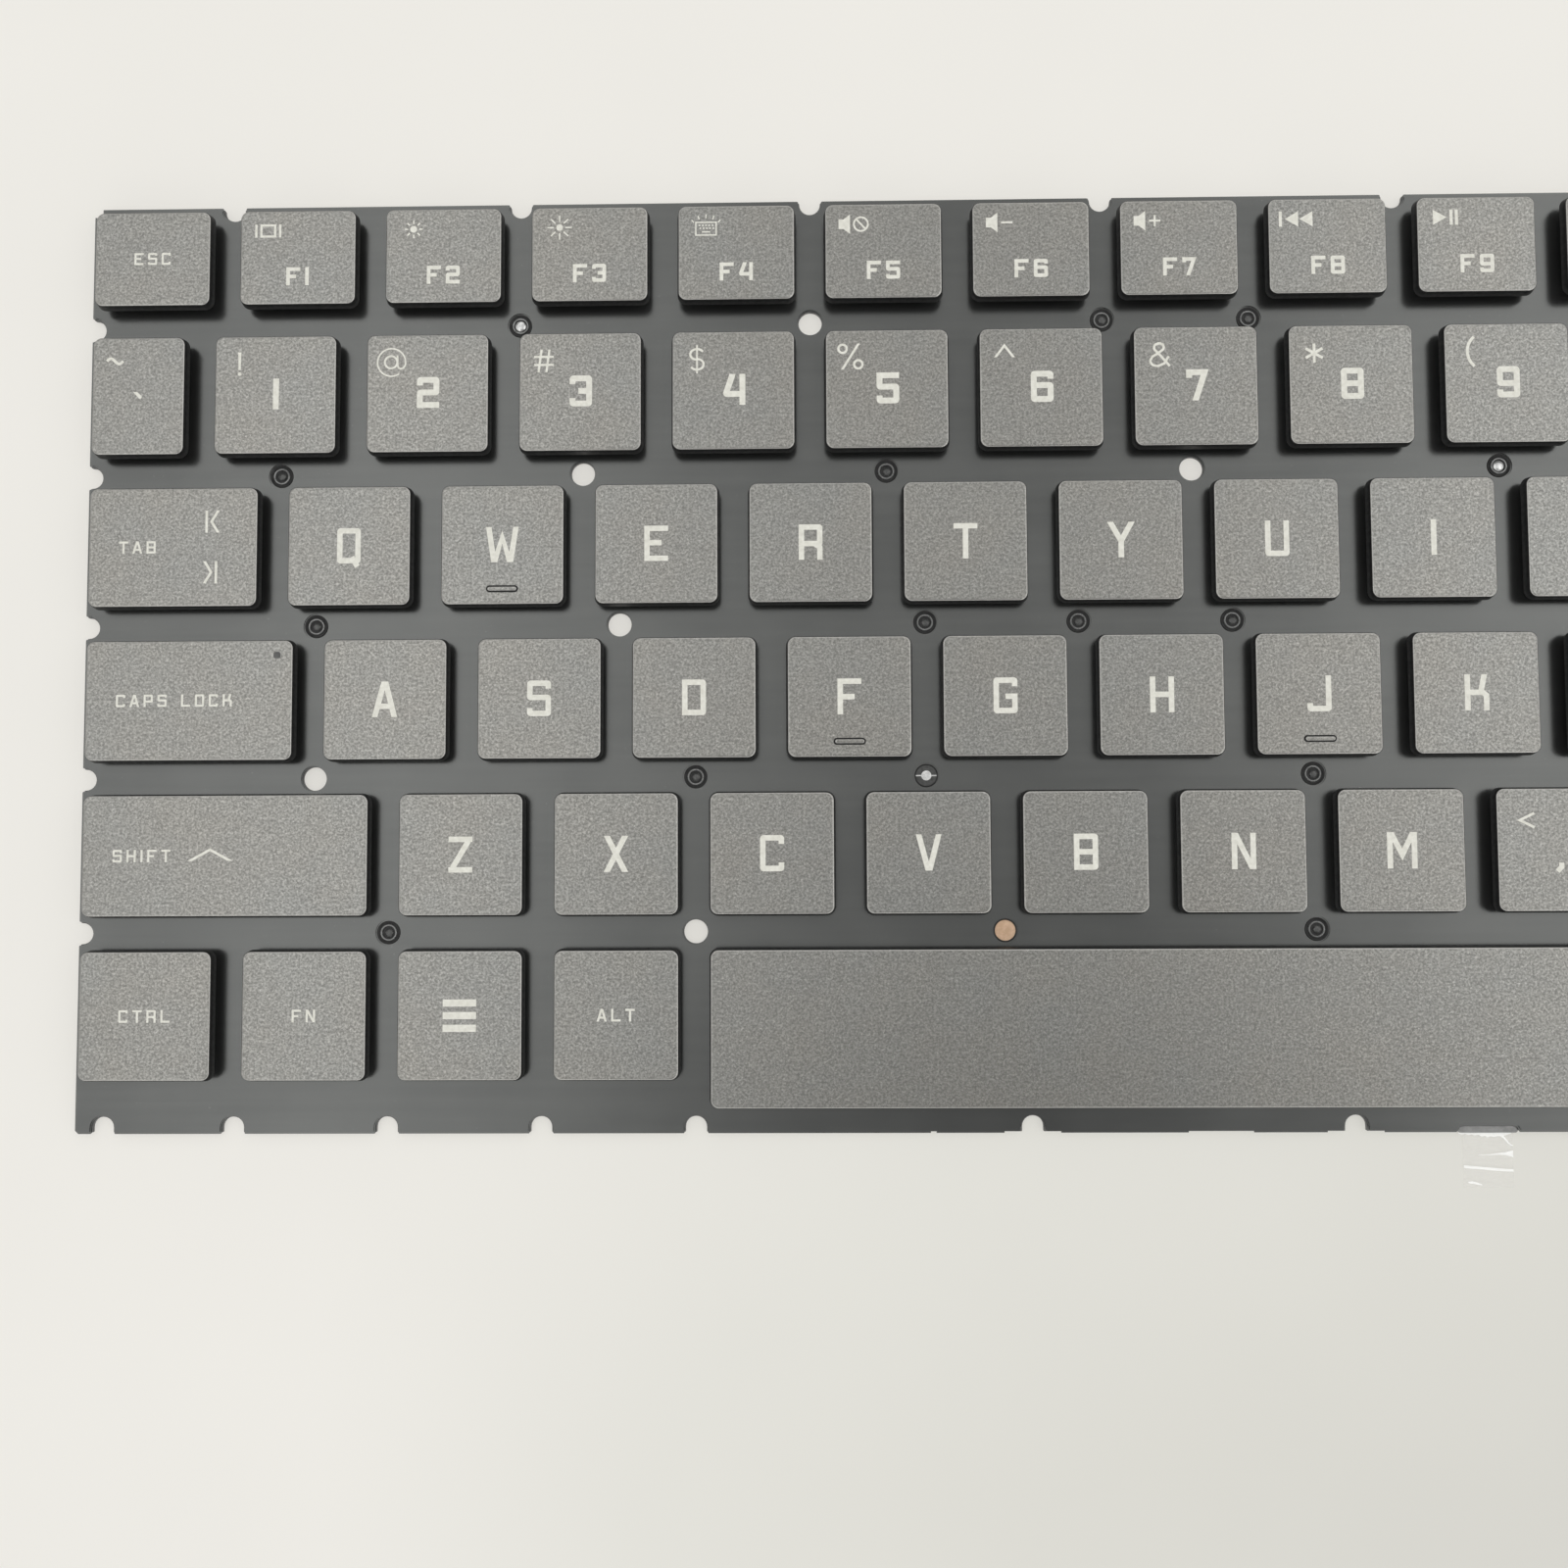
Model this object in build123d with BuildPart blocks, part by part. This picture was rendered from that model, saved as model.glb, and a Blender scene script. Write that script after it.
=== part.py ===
from build123d import *
import math
import os
from collections import namedtuple

# Key field: the rows run along X, and the function row is at the back (+Y)
KEY_PITCH = 18.7
COLUMN_GAP = 3.755
ROW_DEPTH = 14.635
ROW_GAP = 4.145
FUNCTION_KEY_WIDTH = 14.28
FUNCTION_ROW_DEPTH = 11.77
FUNCTION_ROW_GAP = 3.94
FRONT_ROW_DEPTH = 15.43
SPACE_EXTRA_DEPTH = 3.37
GRAVE_WIDTH = 11.35
TAB_WIDTH = 20.66
CAPS_LOCK_WIDTH = 25.23
LEFT_SHIFT_WIDTH = 34.56
LEFT_CTRL_WIDTH = 15.89
BACKSLASH_WIDTH = 17.255
ARROW_GAP = 1.0

# Keycap: a hollow shell that comes down by its travel and stops just above the membrane
CAP_HEIGHT = 1.4
CAP_WALL = 0.9
CAP_ROOF = 0.75
CORNER_RADIUS = 1.0
KEY_TRAVEL = 1.4
PRESSED_CLEARANCE = 0.1
FINDER_LENGTH = 3.9
FINDER_WIDTH = 0.85
FINDER_HEIGHT = 0.2
FINDER_FROM_FRONT = 1.9

# Sheets, from the underside up: backlight, plate, membrane
BACKLIGHT_THICKNESS = 0.4
PLATE_THICKNESS = 0.5
MEMBRANE_THICKNESS = 0.3
SIDE_BORDER = 1.5
BACK_BORDER = 1.7
FRONT_BORDER = 3.3
PLATE_INSET = 0.15
BACKLIGHT_INSET = 3.0
BACK_CORNER_NOTCH = 1.0
FRONT_CORNER_CHAMFER = 0.4

# Holes in the gaps between the rows, and notches round the edge
PLATE_HOLE_DIAMETER = 2.9
MEMBRANE_HOLE_CLEARANCE = 0.15
BACKLIGHT_HOLE_CLEARANCE = 0.35
NOTCH_WIDTH = 2.85
SIDE_NOTCH_DEPTH = 1.75
FRONT_NOTCH_DEPTH = 2.15
NOTCH_STEP = 0.15
END_NOTCH_FROM_SIDE = 3.4
NOTCHED_FRONT_GAPS = 6
RIVET_HOLE_SIDES = 8

# Tape tab at the front edge
TAPE_FROM_LEFT = 169.9
TAPE_WIDTH = 6.5
TAPE_LENGTH = 6.7
TAPE_LAP = 2.5
TAPE_RAMP = 1.6
TAPE_THICKNESS = 0.08
TAPE_RECESS_MARGIN = 0.3
TAPE_RECESS_DEPTH = 0.75

# Scissor links, rubber domes and stabiliser bars below the caps
LINK_LENGTH = 9.0
LINK_WIDTH = 9.0
LINK_THICKNESS = 0.5
LINK_BAR = 0.9
LINK_SIDE_CLEARANCE = 0.15
LINK_END_CLEARANCE = 0.05
DOME_BASE_RADIUS = 2.3
DOME_TOP_RADIUS = 1.2
DOME_SIDES = 6
STABILISER_BAR = 0.6
STABILISER_REACH = 5.2
STABILISER_WALL_CLEARANCE = 0.3

# Keys of each row from left to right, and the last key of each row that moves by itself
FUNCTION_NAMES = ["esc"] + [f"f{number}" for number in range(1, 13)] + ["insert", "delete"]
NUMBER_NAMES = ["grave", *"1234567890", "minus", "equals", "backspace"]
Q_NAMES = ["tab", *"qwertyuiop", "left_bracket", "right_bracket", "backslash"]
A_NAMES = ["caps_lock", *"asdfghjkl", "semicolon", "quote", "enter"]
Z_NAMES = ["left_shift", *"zxcvbnm", "comma", "period", "slash", "right_shift"]
STANDARD_ROWS = [NUMBER_NAMES, Q_NAMES, A_NAMES, Z_NAMES]
LAST_MOVING = ["f9", "9", "i", "k", "m", "space"]
FINDER_KEYS = ["w", "f", "j"]
STABILISED_KEYS = ["backspace", "enter", "left_shift", "right_shift", "space"]

KEY_WIDTH = KEY_PITCH - COLUMN_GAP
FIELD_WIDTH = TAB_WIDTH + COLUMN_GAP + len(Q_NAMES[1:-1]) * KEY_PITCH + BACKSLASH_WIDTH
FUNCTION_PITCH = (FIELD_WIDTH - FUNCTION_KEY_WIDTH) / len(FUNCTION_NAMES[1:])
STANDARD_DEPTH = len(STANDARD_ROWS) * (ROW_DEPTH + ROW_GAP)
SPACE_DEPTH = FRONT_ROW_DEPTH + SPACE_EXTRA_DEPTH
FIELD_DEPTH = FUNCTION_ROW_DEPTH + FUNCTION_ROW_GAP + STANDARD_DEPTH + SPACE_DEPTH
OUTLINE_WIDTH = FIELD_WIDTH + 2 * SIDE_BORDER
OUTLINE_DEPTH = FIELD_DEPTH + BACK_BORDER + FRONT_BORDER
LEFT = -OUTLINE_WIDTH / 2
RIGHT = OUTLINE_WIDTH / 2
BACK = OUTLINE_DEPTH / 2
FRONT = -OUTLINE_DEPTH / 2
PLATE_Z = BACKLIGHT_THICKNESS
MEMBRANE_Z = PLATE_Z + PLATE_THICKNESS
DECK_Z = MEMBRANE_Z + MEMBRANE_THICKNESS
SKIRT_Z = DECK_Z + PRESSED_CLEARANCE + KEY_TRAVEL
ROOF_Z = SKIRT_Z + CAP_HEIGHT - CAP_ROOF
CAP_TOP_Z = SKIRT_Z + CAP_HEIGHT
ROUND_TO_FLAT = 2 - math.sqrt(2)  # a flat this share of a corner's radius touches the middle of its arc

Key = namedtuple("Key", "name x y width depth")


def lay_row(names, top, depth, first_width, width, gap):
    """One row of keys from the field's left end, where the last key fills the row to its right end."""
    keys = []
    left = -FIELD_WIDTH / 2
    for place, name in enumerate(names):
        own_width = first_width if place == 0 else width
        if place == len(names) - 1:
            own_width = FIELD_WIDTH / 2 - left
        keys.append(Key(name, left + own_width / 2, top - depth / 2, own_width, depth))
        left += own_width + gap
    return keys


# Row tops, from the back to the front
function_top = BACK - BACK_BORDER
number_top = function_top - FUNCTION_ROW_DEPTH - FUNCTION_ROW_GAP
q_top = number_top - ROW_DEPTH - ROW_GAP
a_top = q_top - ROW_DEPTH - ROW_GAP
z_top = a_top - ROW_DEPTH - ROW_GAP
front_top = z_top - ROW_DEPTH - ROW_GAP

function_gap = FUNCTION_PITCH - FUNCTION_KEY_WIDTH
function_row = lay_row(
    FUNCTION_NAMES, function_top, FUNCTION_ROW_DEPTH, FUNCTION_KEY_WIDTH, FUNCTION_KEY_WIDTH, function_gap
)
number_row = lay_row(NUMBER_NAMES, number_top, ROW_DEPTH, GRAVE_WIDTH, KEY_WIDTH, COLUMN_GAP)
q_row = lay_row(Q_NAMES, q_top, ROW_DEPTH, TAB_WIDTH, KEY_WIDTH, COLUMN_GAP)
a_row = lay_row(A_NAMES, a_top, ROW_DEPTH, CAPS_LOCK_WIDTH, KEY_WIDTH, COLUMN_GAP)
z_row = lay_row(Z_NAMES, z_top, ROW_DEPTH, LEFT_SHIFT_WIDTH, KEY_WIDTH, COLUMN_GAP)

# Front row: four keys at the left, four columns at the right, and the space bar between them
front_y = front_top - FRONT_ROW_DEPTH / 2
fn_x = -FIELD_WIDTH / 2 + LEFT_CTRL_WIDTH + COLUMN_GAP + KEY_WIDTH / 2
last_column_x = FIELD_WIDTH / 2 - KEY_WIDTH / 2
space_left = fn_x + 3 * KEY_PITCH - KEY_WIDTH / 2
space_right = last_column_x - 3 * KEY_PITCH - KEY_WIDTH / 2 - COLUMN_GAP
arrow_depth = (FRONT_ROW_DEPTH - ARROW_GAP) / 2
arrow_step = (arrow_depth + ARROW_GAP) / 2
up_x = last_column_x - KEY_PITCH
space_x = (space_left + space_right) / 2
space_y = front_top - SPACE_DEPTH / 2
front_row = [
    Key("left_ctrl", -FIELD_WIDTH / 2 + LEFT_CTRL_WIDTH / 2, front_y, LEFT_CTRL_WIDTH, FRONT_ROW_DEPTH),
    Key("fn", fn_x, front_y, KEY_WIDTH, FRONT_ROW_DEPTH),
    Key("start", fn_x + KEY_PITCH, front_y, KEY_WIDTH, FRONT_ROW_DEPTH),
    Key("left_alt", fn_x + 2 * KEY_PITCH, front_y, KEY_WIDTH, FRONT_ROW_DEPTH),
    Key("space", space_x, space_y, space_right - space_left, SPACE_DEPTH),
    Key("right_alt", up_x - 2 * KEY_PITCH, front_y, KEY_WIDTH, FRONT_ROW_DEPTH),
    Key("arrow_left", up_x - KEY_PITCH, front_y, KEY_WIDTH, FRONT_ROW_DEPTH),
    Key("arrow_up", up_x, front_y + arrow_step, KEY_WIDTH, arrow_depth),
    Key("arrow_down", up_x, front_y - arrow_step, KEY_WIDTH, arrow_depth),
    Key("arrow_right", last_column_x, front_y, KEY_WIDTH, FRONT_ROW_DEPTH),
]

# Each row's keys move by themselves up to its last moving one; those further right are held fast
moving_keys = []
fixed_keys = []
for row, last_name in zip([function_row, number_row, q_row, a_row, z_row, front_row], LAST_MOVING):
    moving_count = [key.name for key in row].index(last_name) + 1
    moving_keys += row[:moving_count]
    fixed_keys += row[moving_count:]
all_keys = moving_keys + fixed_keys

os.makedirs("parts", exist_ok=True)


def gap_after(row, place):
    """The middle of the gap that follows a key in its row."""
    key, after = row[place], row[place + 1]
    return (key.x + key.width / 2 + after.x - after.width / 2) / 2


# Hole lines: the middle of each gap between rows, the row whose column gaps place the holes,
# the places of the open screw holes and those of the riveted ones
hole_lines = [
    (number_top + FUNCTION_ROW_GAP / 2, function_row, [4, 10], [2, 6, 7]),
    (q_top + ROW_GAP / 2, q_row, [2, 6], [0, 4, 8]),
    (a_top + ROW_GAP / 2, a_row, [2, 10], [0, 4, 5, 6]),
    (z_top + ROW_GAP / 2, a_row, [0, 11], [4]),
    (z_top + ROW_GAP / 2, z_row, [], [2, 6]),
    (front_top + ROW_GAP / 2, z_row, [2, 10], [0, 4, 6]),
]
screw_holes = [(gap_after(row, place), y) for y, row, open_places, _ in hole_lines for place in open_places]
rivet_holes = [(gap_after(row, place), y) for y, row, _, riveted in hole_lines for place in riveted]

# Notches: at each hole line on the sides, at every second gap at the back, and at the front
# near the ends, in the gaps up to the right-hand Alt key and at the thirds of the space bar
side_notches = [(x, y) for x in (LEFT, RIGHT) for y in sorted({line[0] for line in hole_lines})]
back_notches = [(gap_after(function_row, place), BACK) for place in range(0, len(function_row) - 1, 2)]
space_third = (space_right - space_left) / 3
front_notch_xs = (
    [LEFT + END_NOTCH_FROM_SIDE, RIGHT - END_NOTCH_FROM_SIDE]
    + [gap_after(front_row, place) for place in range(NOTCHED_FRONT_GAPS)]
    + [space_left + space_third, space_right - space_third]
)
front_notches = [(x, FRONT) for x in front_notch_xs]
tape_x = LEFT + TAPE_FROM_LEFT


# Backlight sheet: a plain film inside the plate's edge, with square reliefs round the screw holes
relief_side = PLATE_HOLE_DIAMETER + 2 * BACKLIGHT_HOLE_CLEARANCE
with BuildPart() as backlight_sheet:
    with BuildSketch():
        Rectangle(OUTLINE_WIDTH - 2 * BACKLIGHT_INSET, OUTLINE_DEPTH - 2 * BACKLIGHT_INSET)
        with Locations(*screw_holes):
            Rectangle(relief_side, relief_side, mode=Mode.SUBTRACT)
    extrude(amount=BACKLIGHT_THICKNESS)
backlight_sheet.part.label = "backlight_sheet"
export_step(backlight_sheet.part, "parts/backlight_sheet.step")


def draw_outline(inset):
    """The outline that the plate and the membrane share, inside the edge by the inset."""
    corner_cut = 2 * (BACK_CORNER_NOTCH + inset)
    Rectangle(OUTLINE_WIDTH - 2 * inset, OUTLINE_DEPTH - 2 * inset)
    with Locations((LEFT, BACK), (RIGHT, BACK)):
        Rectangle(corner_cut, corner_cut, mode=Mode.SUBTRACT)


def notch_shape(along_x, along_y):
    """A notch centred on the edge it cuts, with flats for its round end."""
    with BuildSketch() as notch:
        Rectangle(along_x, along_y)
        chamfer(notch.vertices(), NOTCH_WIDTH / 2 * ROUND_TO_FLAT)
    return notch.sketch


side_notch = notch_shape(2 * SIDE_NOTCH_DEPTH, NOTCH_WIDTH)
back_notch = notch_shape(NOTCH_WIDTH, 2 * SIDE_NOTCH_DEPTH)
front_notch = notch_shape(NOTCH_WIDTH, 2 * FRONT_NOTCH_DEPTH)
membrane_hole_radius = PLATE_HOLE_DIAMETER / 2 + MEMBRANE_HOLE_CLEARANCE
plate_notch_width = NOTCH_WIDTH - 2 * NOTCH_STEP


# Base plate: the metal sheet that carries everything, with the screw holes
with BuildPart() as base_plate:
    with BuildSketch(Plane.XY.offset(PLATE_Z)) as plate_sketch:
        draw_outline(PLATE_INSET)
        chamfer(plate_sketch.vertices().group_by(Axis.Y)[0], FRONT_CORNER_CHAMFER)
        with Locations(*screw_holes):
            Circle(PLATE_HOLE_DIAMETER / 2, mode=Mode.SUBTRACT)
        with Locations(*side_notches):
            Rectangle(2 * (SIDE_NOTCH_DEPTH + NOTCH_STEP), plate_notch_width, mode=Mode.SUBTRACT)
        with Locations(*back_notches):
            Rectangle(plate_notch_width, 2 * (SIDE_NOTCH_DEPTH + NOTCH_STEP), mode=Mode.SUBTRACT)
        with Locations(*front_notches):
            Rectangle(plate_notch_width, 2 * (FRONT_NOTCH_DEPTH + NOTCH_STEP), mode=Mode.SUBTRACT)
    extrude(amount=PLATE_THICKNESS)
base_plate.part.label = "base_plate"
export_step(base_plate.part, "parts/base_plate.step")

# Switch membrane: the dark top sheet, with a clearance hole at every screw and rivet
with BuildPart() as switch_membrane:
    with BuildSketch(Plane.XY.offset(MEMBRANE_Z)) as membrane_sketch:
        draw_outline(0)
        chamfer(membrane_sketch.vertices().group_by(Axis.Y)[0], FRONT_CORNER_CHAMFER)
        with Locations(*screw_holes):
            Circle(membrane_hole_radius, mode=Mode.SUBTRACT)
        with Locations(*rivet_holes):
            RegularPolygon(membrane_hole_radius, RIVET_HOLE_SIDES, major_radius=False, mode=Mode.SUBTRACT)
        with Locations(*side_notches):
            add(side_notch, mode=Mode.SUBTRACT)
        with Locations(*back_notches):
            add(back_notch, mode=Mode.SUBTRACT)
        with Locations(*front_notches):
            add(front_notch, mode=Mode.SUBTRACT)
        with Locations((tape_x, FRONT)):
            Rectangle(TAPE_WIDTH + 2 * TAPE_RECESS_MARGIN, 2 * TAPE_RECESS_DEPTH, mode=Mode.SUBTRACT)
    extrude(amount=MEMBRANE_THICKNESS)
switch_membrane.part.label = "switch_membrane"
export_step(switch_membrane.part, "parts/switch_membrane.step")

# Clear tape: stuck under the plate's front edge, then down to the surface the keyboard lies on
with BuildPart() as clear_tape:
    with BuildSketch(Plane.YZ.offset(tape_x - TAPE_WIDTH / 2)):
        with BuildLine():
            edge_y = FRONT + PLATE_INSET
            lap_y = edge_y + TAPE_LAP
            foot_y = edge_y - TAPE_RAMP
            end_y = FRONT - TAPE_LENGTH
            under_z = PLATE_Z - TAPE_THICKNESS
            Polyline(
                (lap_y, PLATE_Z), (edge_y, PLATE_Z), (foot_y, TAPE_THICKNESS), (end_y, TAPE_THICKNESS),
                (end_y, 0), (foot_y, 0), (edge_y, under_z), (lap_y, under_z), close=True,
            )
        make_face()
    extrude(amount=TAPE_WIDTH)
clear_tape.part.label = "clear_tape"
export_step(clear_tape.part, "parts/clear_tape.step")

# Keys grouped by the width and length of the scissor links that fit inside their caps
lift_sizes = {}
for key in all_keys:
    link_width = min(LINK_WIDTH, key.width - 2 * CAP_WALL - 2 * LINK_SIDE_CLEARANCE)
    link_length = min(LINK_LENGTH, key.depth - 2 * CAP_WALL - 2 * LINK_SIDE_CLEARANCE)
    lift_sizes.setdefault((link_width, link_length), []).append(key)
lift_height = ROOF_Z - DECK_Z - 2 * LINK_END_CLEARANCE
lift_middle_z = (ROOF_Z + DECK_Z) / 2


def tilt_for(length, thickness):
    """The slope at which a flat link of this length spans the height between the membrane and the cap."""
    return math.asin(lift_height / math.hypot(length, thickness)) - math.atan2(thickness, length)


def tilted_plane(x, y, tilt):
    """A plane through the middle of the lift whose back edge rises by the tilt."""
    return Plane(origin=(x, y, lift_middle_z), x_dir=(1, 0, 0), z_dir=(0, -math.sin(tilt), math.cos(tilt)))


# Outer scissor links: bows whose back bar carries the cap and whose two front ends turn on the plate
with BuildPart() as scissor_outer_links:
    for (width, length), keys in lift_sizes.items():
        tilt = tilt_for(length, LINK_THICKNESS)
        with BuildSketch(*[tilted_plane(key.x, key.y, tilt) for key in keys]):
            Rectangle(width, length)
            with Locations((0, -LINK_BAR)):
                Rectangle(width - 2 * LINK_BAR, length, mode=Mode.SUBTRACT)
        extrude(amount=LINK_THICKNESS / 2, both=True)
scissor_outer_links.part.label = "scissor_outer_links"
export_step(scissor_outer_links.part, "parts/scissor_outer_links.step")

# Inner scissor links: narrower bows that cross inside the outer ones, with the bar down at the back
with BuildPart() as scissor_inner_links:
    for (width, length), keys in lift_sizes.items():
        tilt = -tilt_for(length, LINK_THICKNESS)
        inner_width = width - 2 * LINK_BAR - 2 * LINK_SIDE_CLEARANCE
        with BuildSketch(*[tilted_plane(key.x, key.y, tilt) for key in keys]):
            Rectangle(inner_width, length)
            with Locations((0, -LINK_BAR)):
                Rectangle(inner_width - 2 * LINK_BAR, length, mode=Mode.SUBTRACT)
        extrude(amount=LINK_THICKNESS / 2, both=True)
scissor_inner_links.part.label = "scissor_inner_links"
export_step(scissor_inner_links.part, "parts/scissor_inner_links.step")

# Rubber domes: one inside the links of each key, glued to the membrane
dome_height = ROOF_Z - DECK_Z - LINK_END_CLEARANCE
with BuildPart() as rubber_domes:
    for (_, length), keys in lift_sizes.items():
        base_radius = min(DOME_BASE_RADIUS, length / 2 - LINK_BAR - LINK_SIDE_CLEARANCE)
        top_radius = min(DOME_TOP_RADIUS, base_radius)
        with BuildSketch(Plane.XY.offset(DECK_Z)):
            with Locations(*[(key.x, key.y) for key in keys]):
                RegularPolygon(base_radius, DOME_SIDES, major_radius=False)
        extrude(amount=dome_height, taper=math.degrees(math.atan2(base_radius - top_radius, dome_height)))
rubber_domes.part.label = "rubber_domes"
export_step(rubber_domes.part, "parts/rubber_domes.step")

# Stabiliser bars: a wire bow in each wide key, along the inside of the cap's back wall
stabiliser_tilt = tilt_for(STABILISER_REACH, STABILISER_BAR)
stabiliser_run = STABILISER_REACH * math.cos(stabiliser_tilt) + STABILISER_BAR * math.sin(stabiliser_tilt)
with BuildPart() as stabiliser_bars:
    for key in all_keys:
        if key.name in STABILISED_KEYS:
            bow_width = key.width - 2 * CAP_WALL - 2 * STABILISER_WALL_CLEARANCE
            bow_back = key.y + key.depth / 2 - CAP_WALL - STABILISER_WALL_CLEARANCE
            with BuildSketch(tilted_plane(key.x, bow_back - stabiliser_run / 2, stabiliser_tilt)):
                Rectangle(bow_width, STABILISER_REACH)
                with Locations((0, -STABILISER_BAR)):
                    Rectangle(bow_width - 2 * STABILISER_BAR, STABILISER_REACH, mode=Mode.SUBTRACT)
            extrude(amount=STABILISER_BAR / 2, both=True)
stabiliser_bars.part.label = "stabiliser_bars"
export_step(stabiliser_bars.part, "parts/stabiliser_bars.step")


def make_cap(key):
    """A keycap: a hollow shell, with a raised finder bar near the front edge on some keys."""
    with BuildPart() as cap:
        with BuildSketch(Plane.XY.offset(SKIRT_Z)) as cap_sketch:
            with Locations((key.x, key.y)):
                Rectangle(key.width, key.depth)
            chamfer(cap_sketch.vertices(), CORNER_RADIUS * ROUND_TO_FLAT)
        extrude(amount=CAP_HEIGHT)
        with BuildSketch(Plane.XY.offset(SKIRT_Z)):
            with Locations((key.x, key.y)):
                Rectangle(key.width - 2 * CAP_WALL, key.depth - 2 * CAP_WALL)
        extrude(amount=CAP_HEIGHT - CAP_ROOF, mode=Mode.SUBTRACT)
        if key.name in FINDER_KEYS:
            with BuildSketch(Plane.XY.offset(CAP_TOP_Z)):
                with Locations((key.x, key.y - key.depth / 2 + FINDER_FROM_FRONT)):
                    Rectangle(FINDER_LENGTH, FINDER_WIDTH)
            extrude(amount=FINDER_HEIGHT)
    return cap.part


# Keycaps that move, one piece each
for key in moving_keys:
    moving_cap = make_cap(key)
    moving_cap.label = f"key_{key.name}"
    export_step(moving_cap, f"parts/key_{key.name}.step")

# Keycaps at the right-hand end, together as one group
fixed_caps = [make_cap(key) for key in fixed_keys]
with BuildPart() as right_hand_keys:
    add(fixed_caps)
right_hand_keys.part.label = "right_hand_keys"
export_step(right_hand_keys.part, "parts/right_hand_keys.step")
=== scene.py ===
import math

import bmesh
import bpy
from mathutils import Matrix, Vector


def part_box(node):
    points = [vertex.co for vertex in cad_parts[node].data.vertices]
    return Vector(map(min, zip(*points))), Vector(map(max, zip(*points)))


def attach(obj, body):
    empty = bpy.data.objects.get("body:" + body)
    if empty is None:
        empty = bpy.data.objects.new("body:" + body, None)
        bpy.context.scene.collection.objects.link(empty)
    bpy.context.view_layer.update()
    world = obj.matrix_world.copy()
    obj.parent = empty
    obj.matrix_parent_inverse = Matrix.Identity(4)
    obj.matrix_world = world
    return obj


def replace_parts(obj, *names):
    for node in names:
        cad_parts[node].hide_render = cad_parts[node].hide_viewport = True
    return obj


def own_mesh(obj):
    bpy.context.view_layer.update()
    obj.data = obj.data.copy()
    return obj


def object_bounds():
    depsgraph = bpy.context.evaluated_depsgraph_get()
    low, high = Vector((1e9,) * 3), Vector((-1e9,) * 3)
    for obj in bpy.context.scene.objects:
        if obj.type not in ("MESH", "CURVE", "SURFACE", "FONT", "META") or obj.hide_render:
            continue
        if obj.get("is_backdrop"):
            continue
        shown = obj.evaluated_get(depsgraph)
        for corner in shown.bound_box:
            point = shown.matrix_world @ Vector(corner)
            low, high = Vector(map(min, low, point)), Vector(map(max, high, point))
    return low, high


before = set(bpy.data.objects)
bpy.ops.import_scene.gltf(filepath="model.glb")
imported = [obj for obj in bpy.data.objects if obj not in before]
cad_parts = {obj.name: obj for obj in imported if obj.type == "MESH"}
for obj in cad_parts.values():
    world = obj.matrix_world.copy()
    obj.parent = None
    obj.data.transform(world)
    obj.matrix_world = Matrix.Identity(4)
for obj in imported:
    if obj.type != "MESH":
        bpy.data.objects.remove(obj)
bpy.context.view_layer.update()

# Everything below is in millimetres in the part's frame, and becomes metres when a mesh is made
MM = 0.001

# Keycap shell: the solids' sizes, and an edge and a flared foot that are finer than theirs. The dark flared
# foot is partly painted shade: it stands for the shadow gap round the cap's base.
CAP_HEIGHT = 1.4
CAP_WALL = 0.9
CAP_ROOF = 0.75
CAP_CORNER = 1.0
CAP_EDGE = 0.26
CAP_FOOT = 0.1
CAP_FLARE = 0.15
# How far up a cap's wall the painted shade at its foot reaches, paling the wall towards the foot
WALL_SHADE_FADE = 0.9
INNER_CORNER = 0.3
CORNER_STEPS = 7
EDGE_STEPS = 4
FINDER_LENGTH = 3.9
FINDER_WIDTH = 0.85
FINDER_HEIGHT = 0.2
FINDER_FROM_FRONT = 1.9
FINDER_KEYS = ("w", "f", "j")

# Unpainted faces of a cap take its second material: the inside, the foot, the wall and part of its edge. The
# dark lower part of the edge is partly painted shade, a dark line where the edge turns away from the light.
DARK = 1
DARK_BANDS = 6
FINDER_STEPS = [(0, -0.05), (0, 0.012), (0.15, 0.02), (0.2, 0.15), (0.26, 0.19), (0.36, FINDER_HEIGHT)]
FINDER_DARK_BANDS = 3

# Notches and holes of the sheets
NOTCH_WIDTH = 2.85
SIDE_NOTCH_DEPTH = 1.75
FRONT_NOTCH_DEPTH = 2.15
END_NOTCH_FROM_SIDE = 3.4
NOTCHED_FRONT_GAPS = 6
NOTCH_ARC_STEPS = 12
CORNER_NOTCH = 1.0
FRONT_CHAMFER = 0.4
HOLE_DIAMETER = 2.9
FRONT_NOTCH_EASE = 0.1
SIDE_NOTCH_EASE = 0.14
RECESS_DEPTH = 0.75
RECESS_MARGIN = 0.3
RECESS_CORNER = 0.5

# Scissor links, domes and stabiliser bars
LINK_SIZE = 9.0
LINK_BAR = 0.9
LINK_THICKNESS = 0.5
LINK_EASE = 0.3
LINK_FOOT = 0.85
SIDE_CLEARANCE = 0.15
END_CLEARANCE = 0.05
BAR_DIAMETER = 0.6
BAR_REACH = 5.2
BAR_WALL_CLEARANCE = 0.3
BAR_TURN = 0.7
BAR_TURN_SHARE = 0.2
BAR_SIDES = 10
PIVOT_OVERLAP = 0.1
PIVOT_SHARE = 0.9
PIVOT_SIDES = 12
DOME_FOOT = 2.3
DOME_SIDES = 20

# A dome's outline from its foot up, as shares of its foot's radius and of its height
DOME_PROFILE = [
    (1.0, 0), (1.0, 0.08), (0.93, 0.1), (0.87, 0.24), (0.8, 0.5), (0.68, 0.7), (0.54, 0.78), (0.52, 0.96),
    (0.47, 1.0),
]

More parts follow.
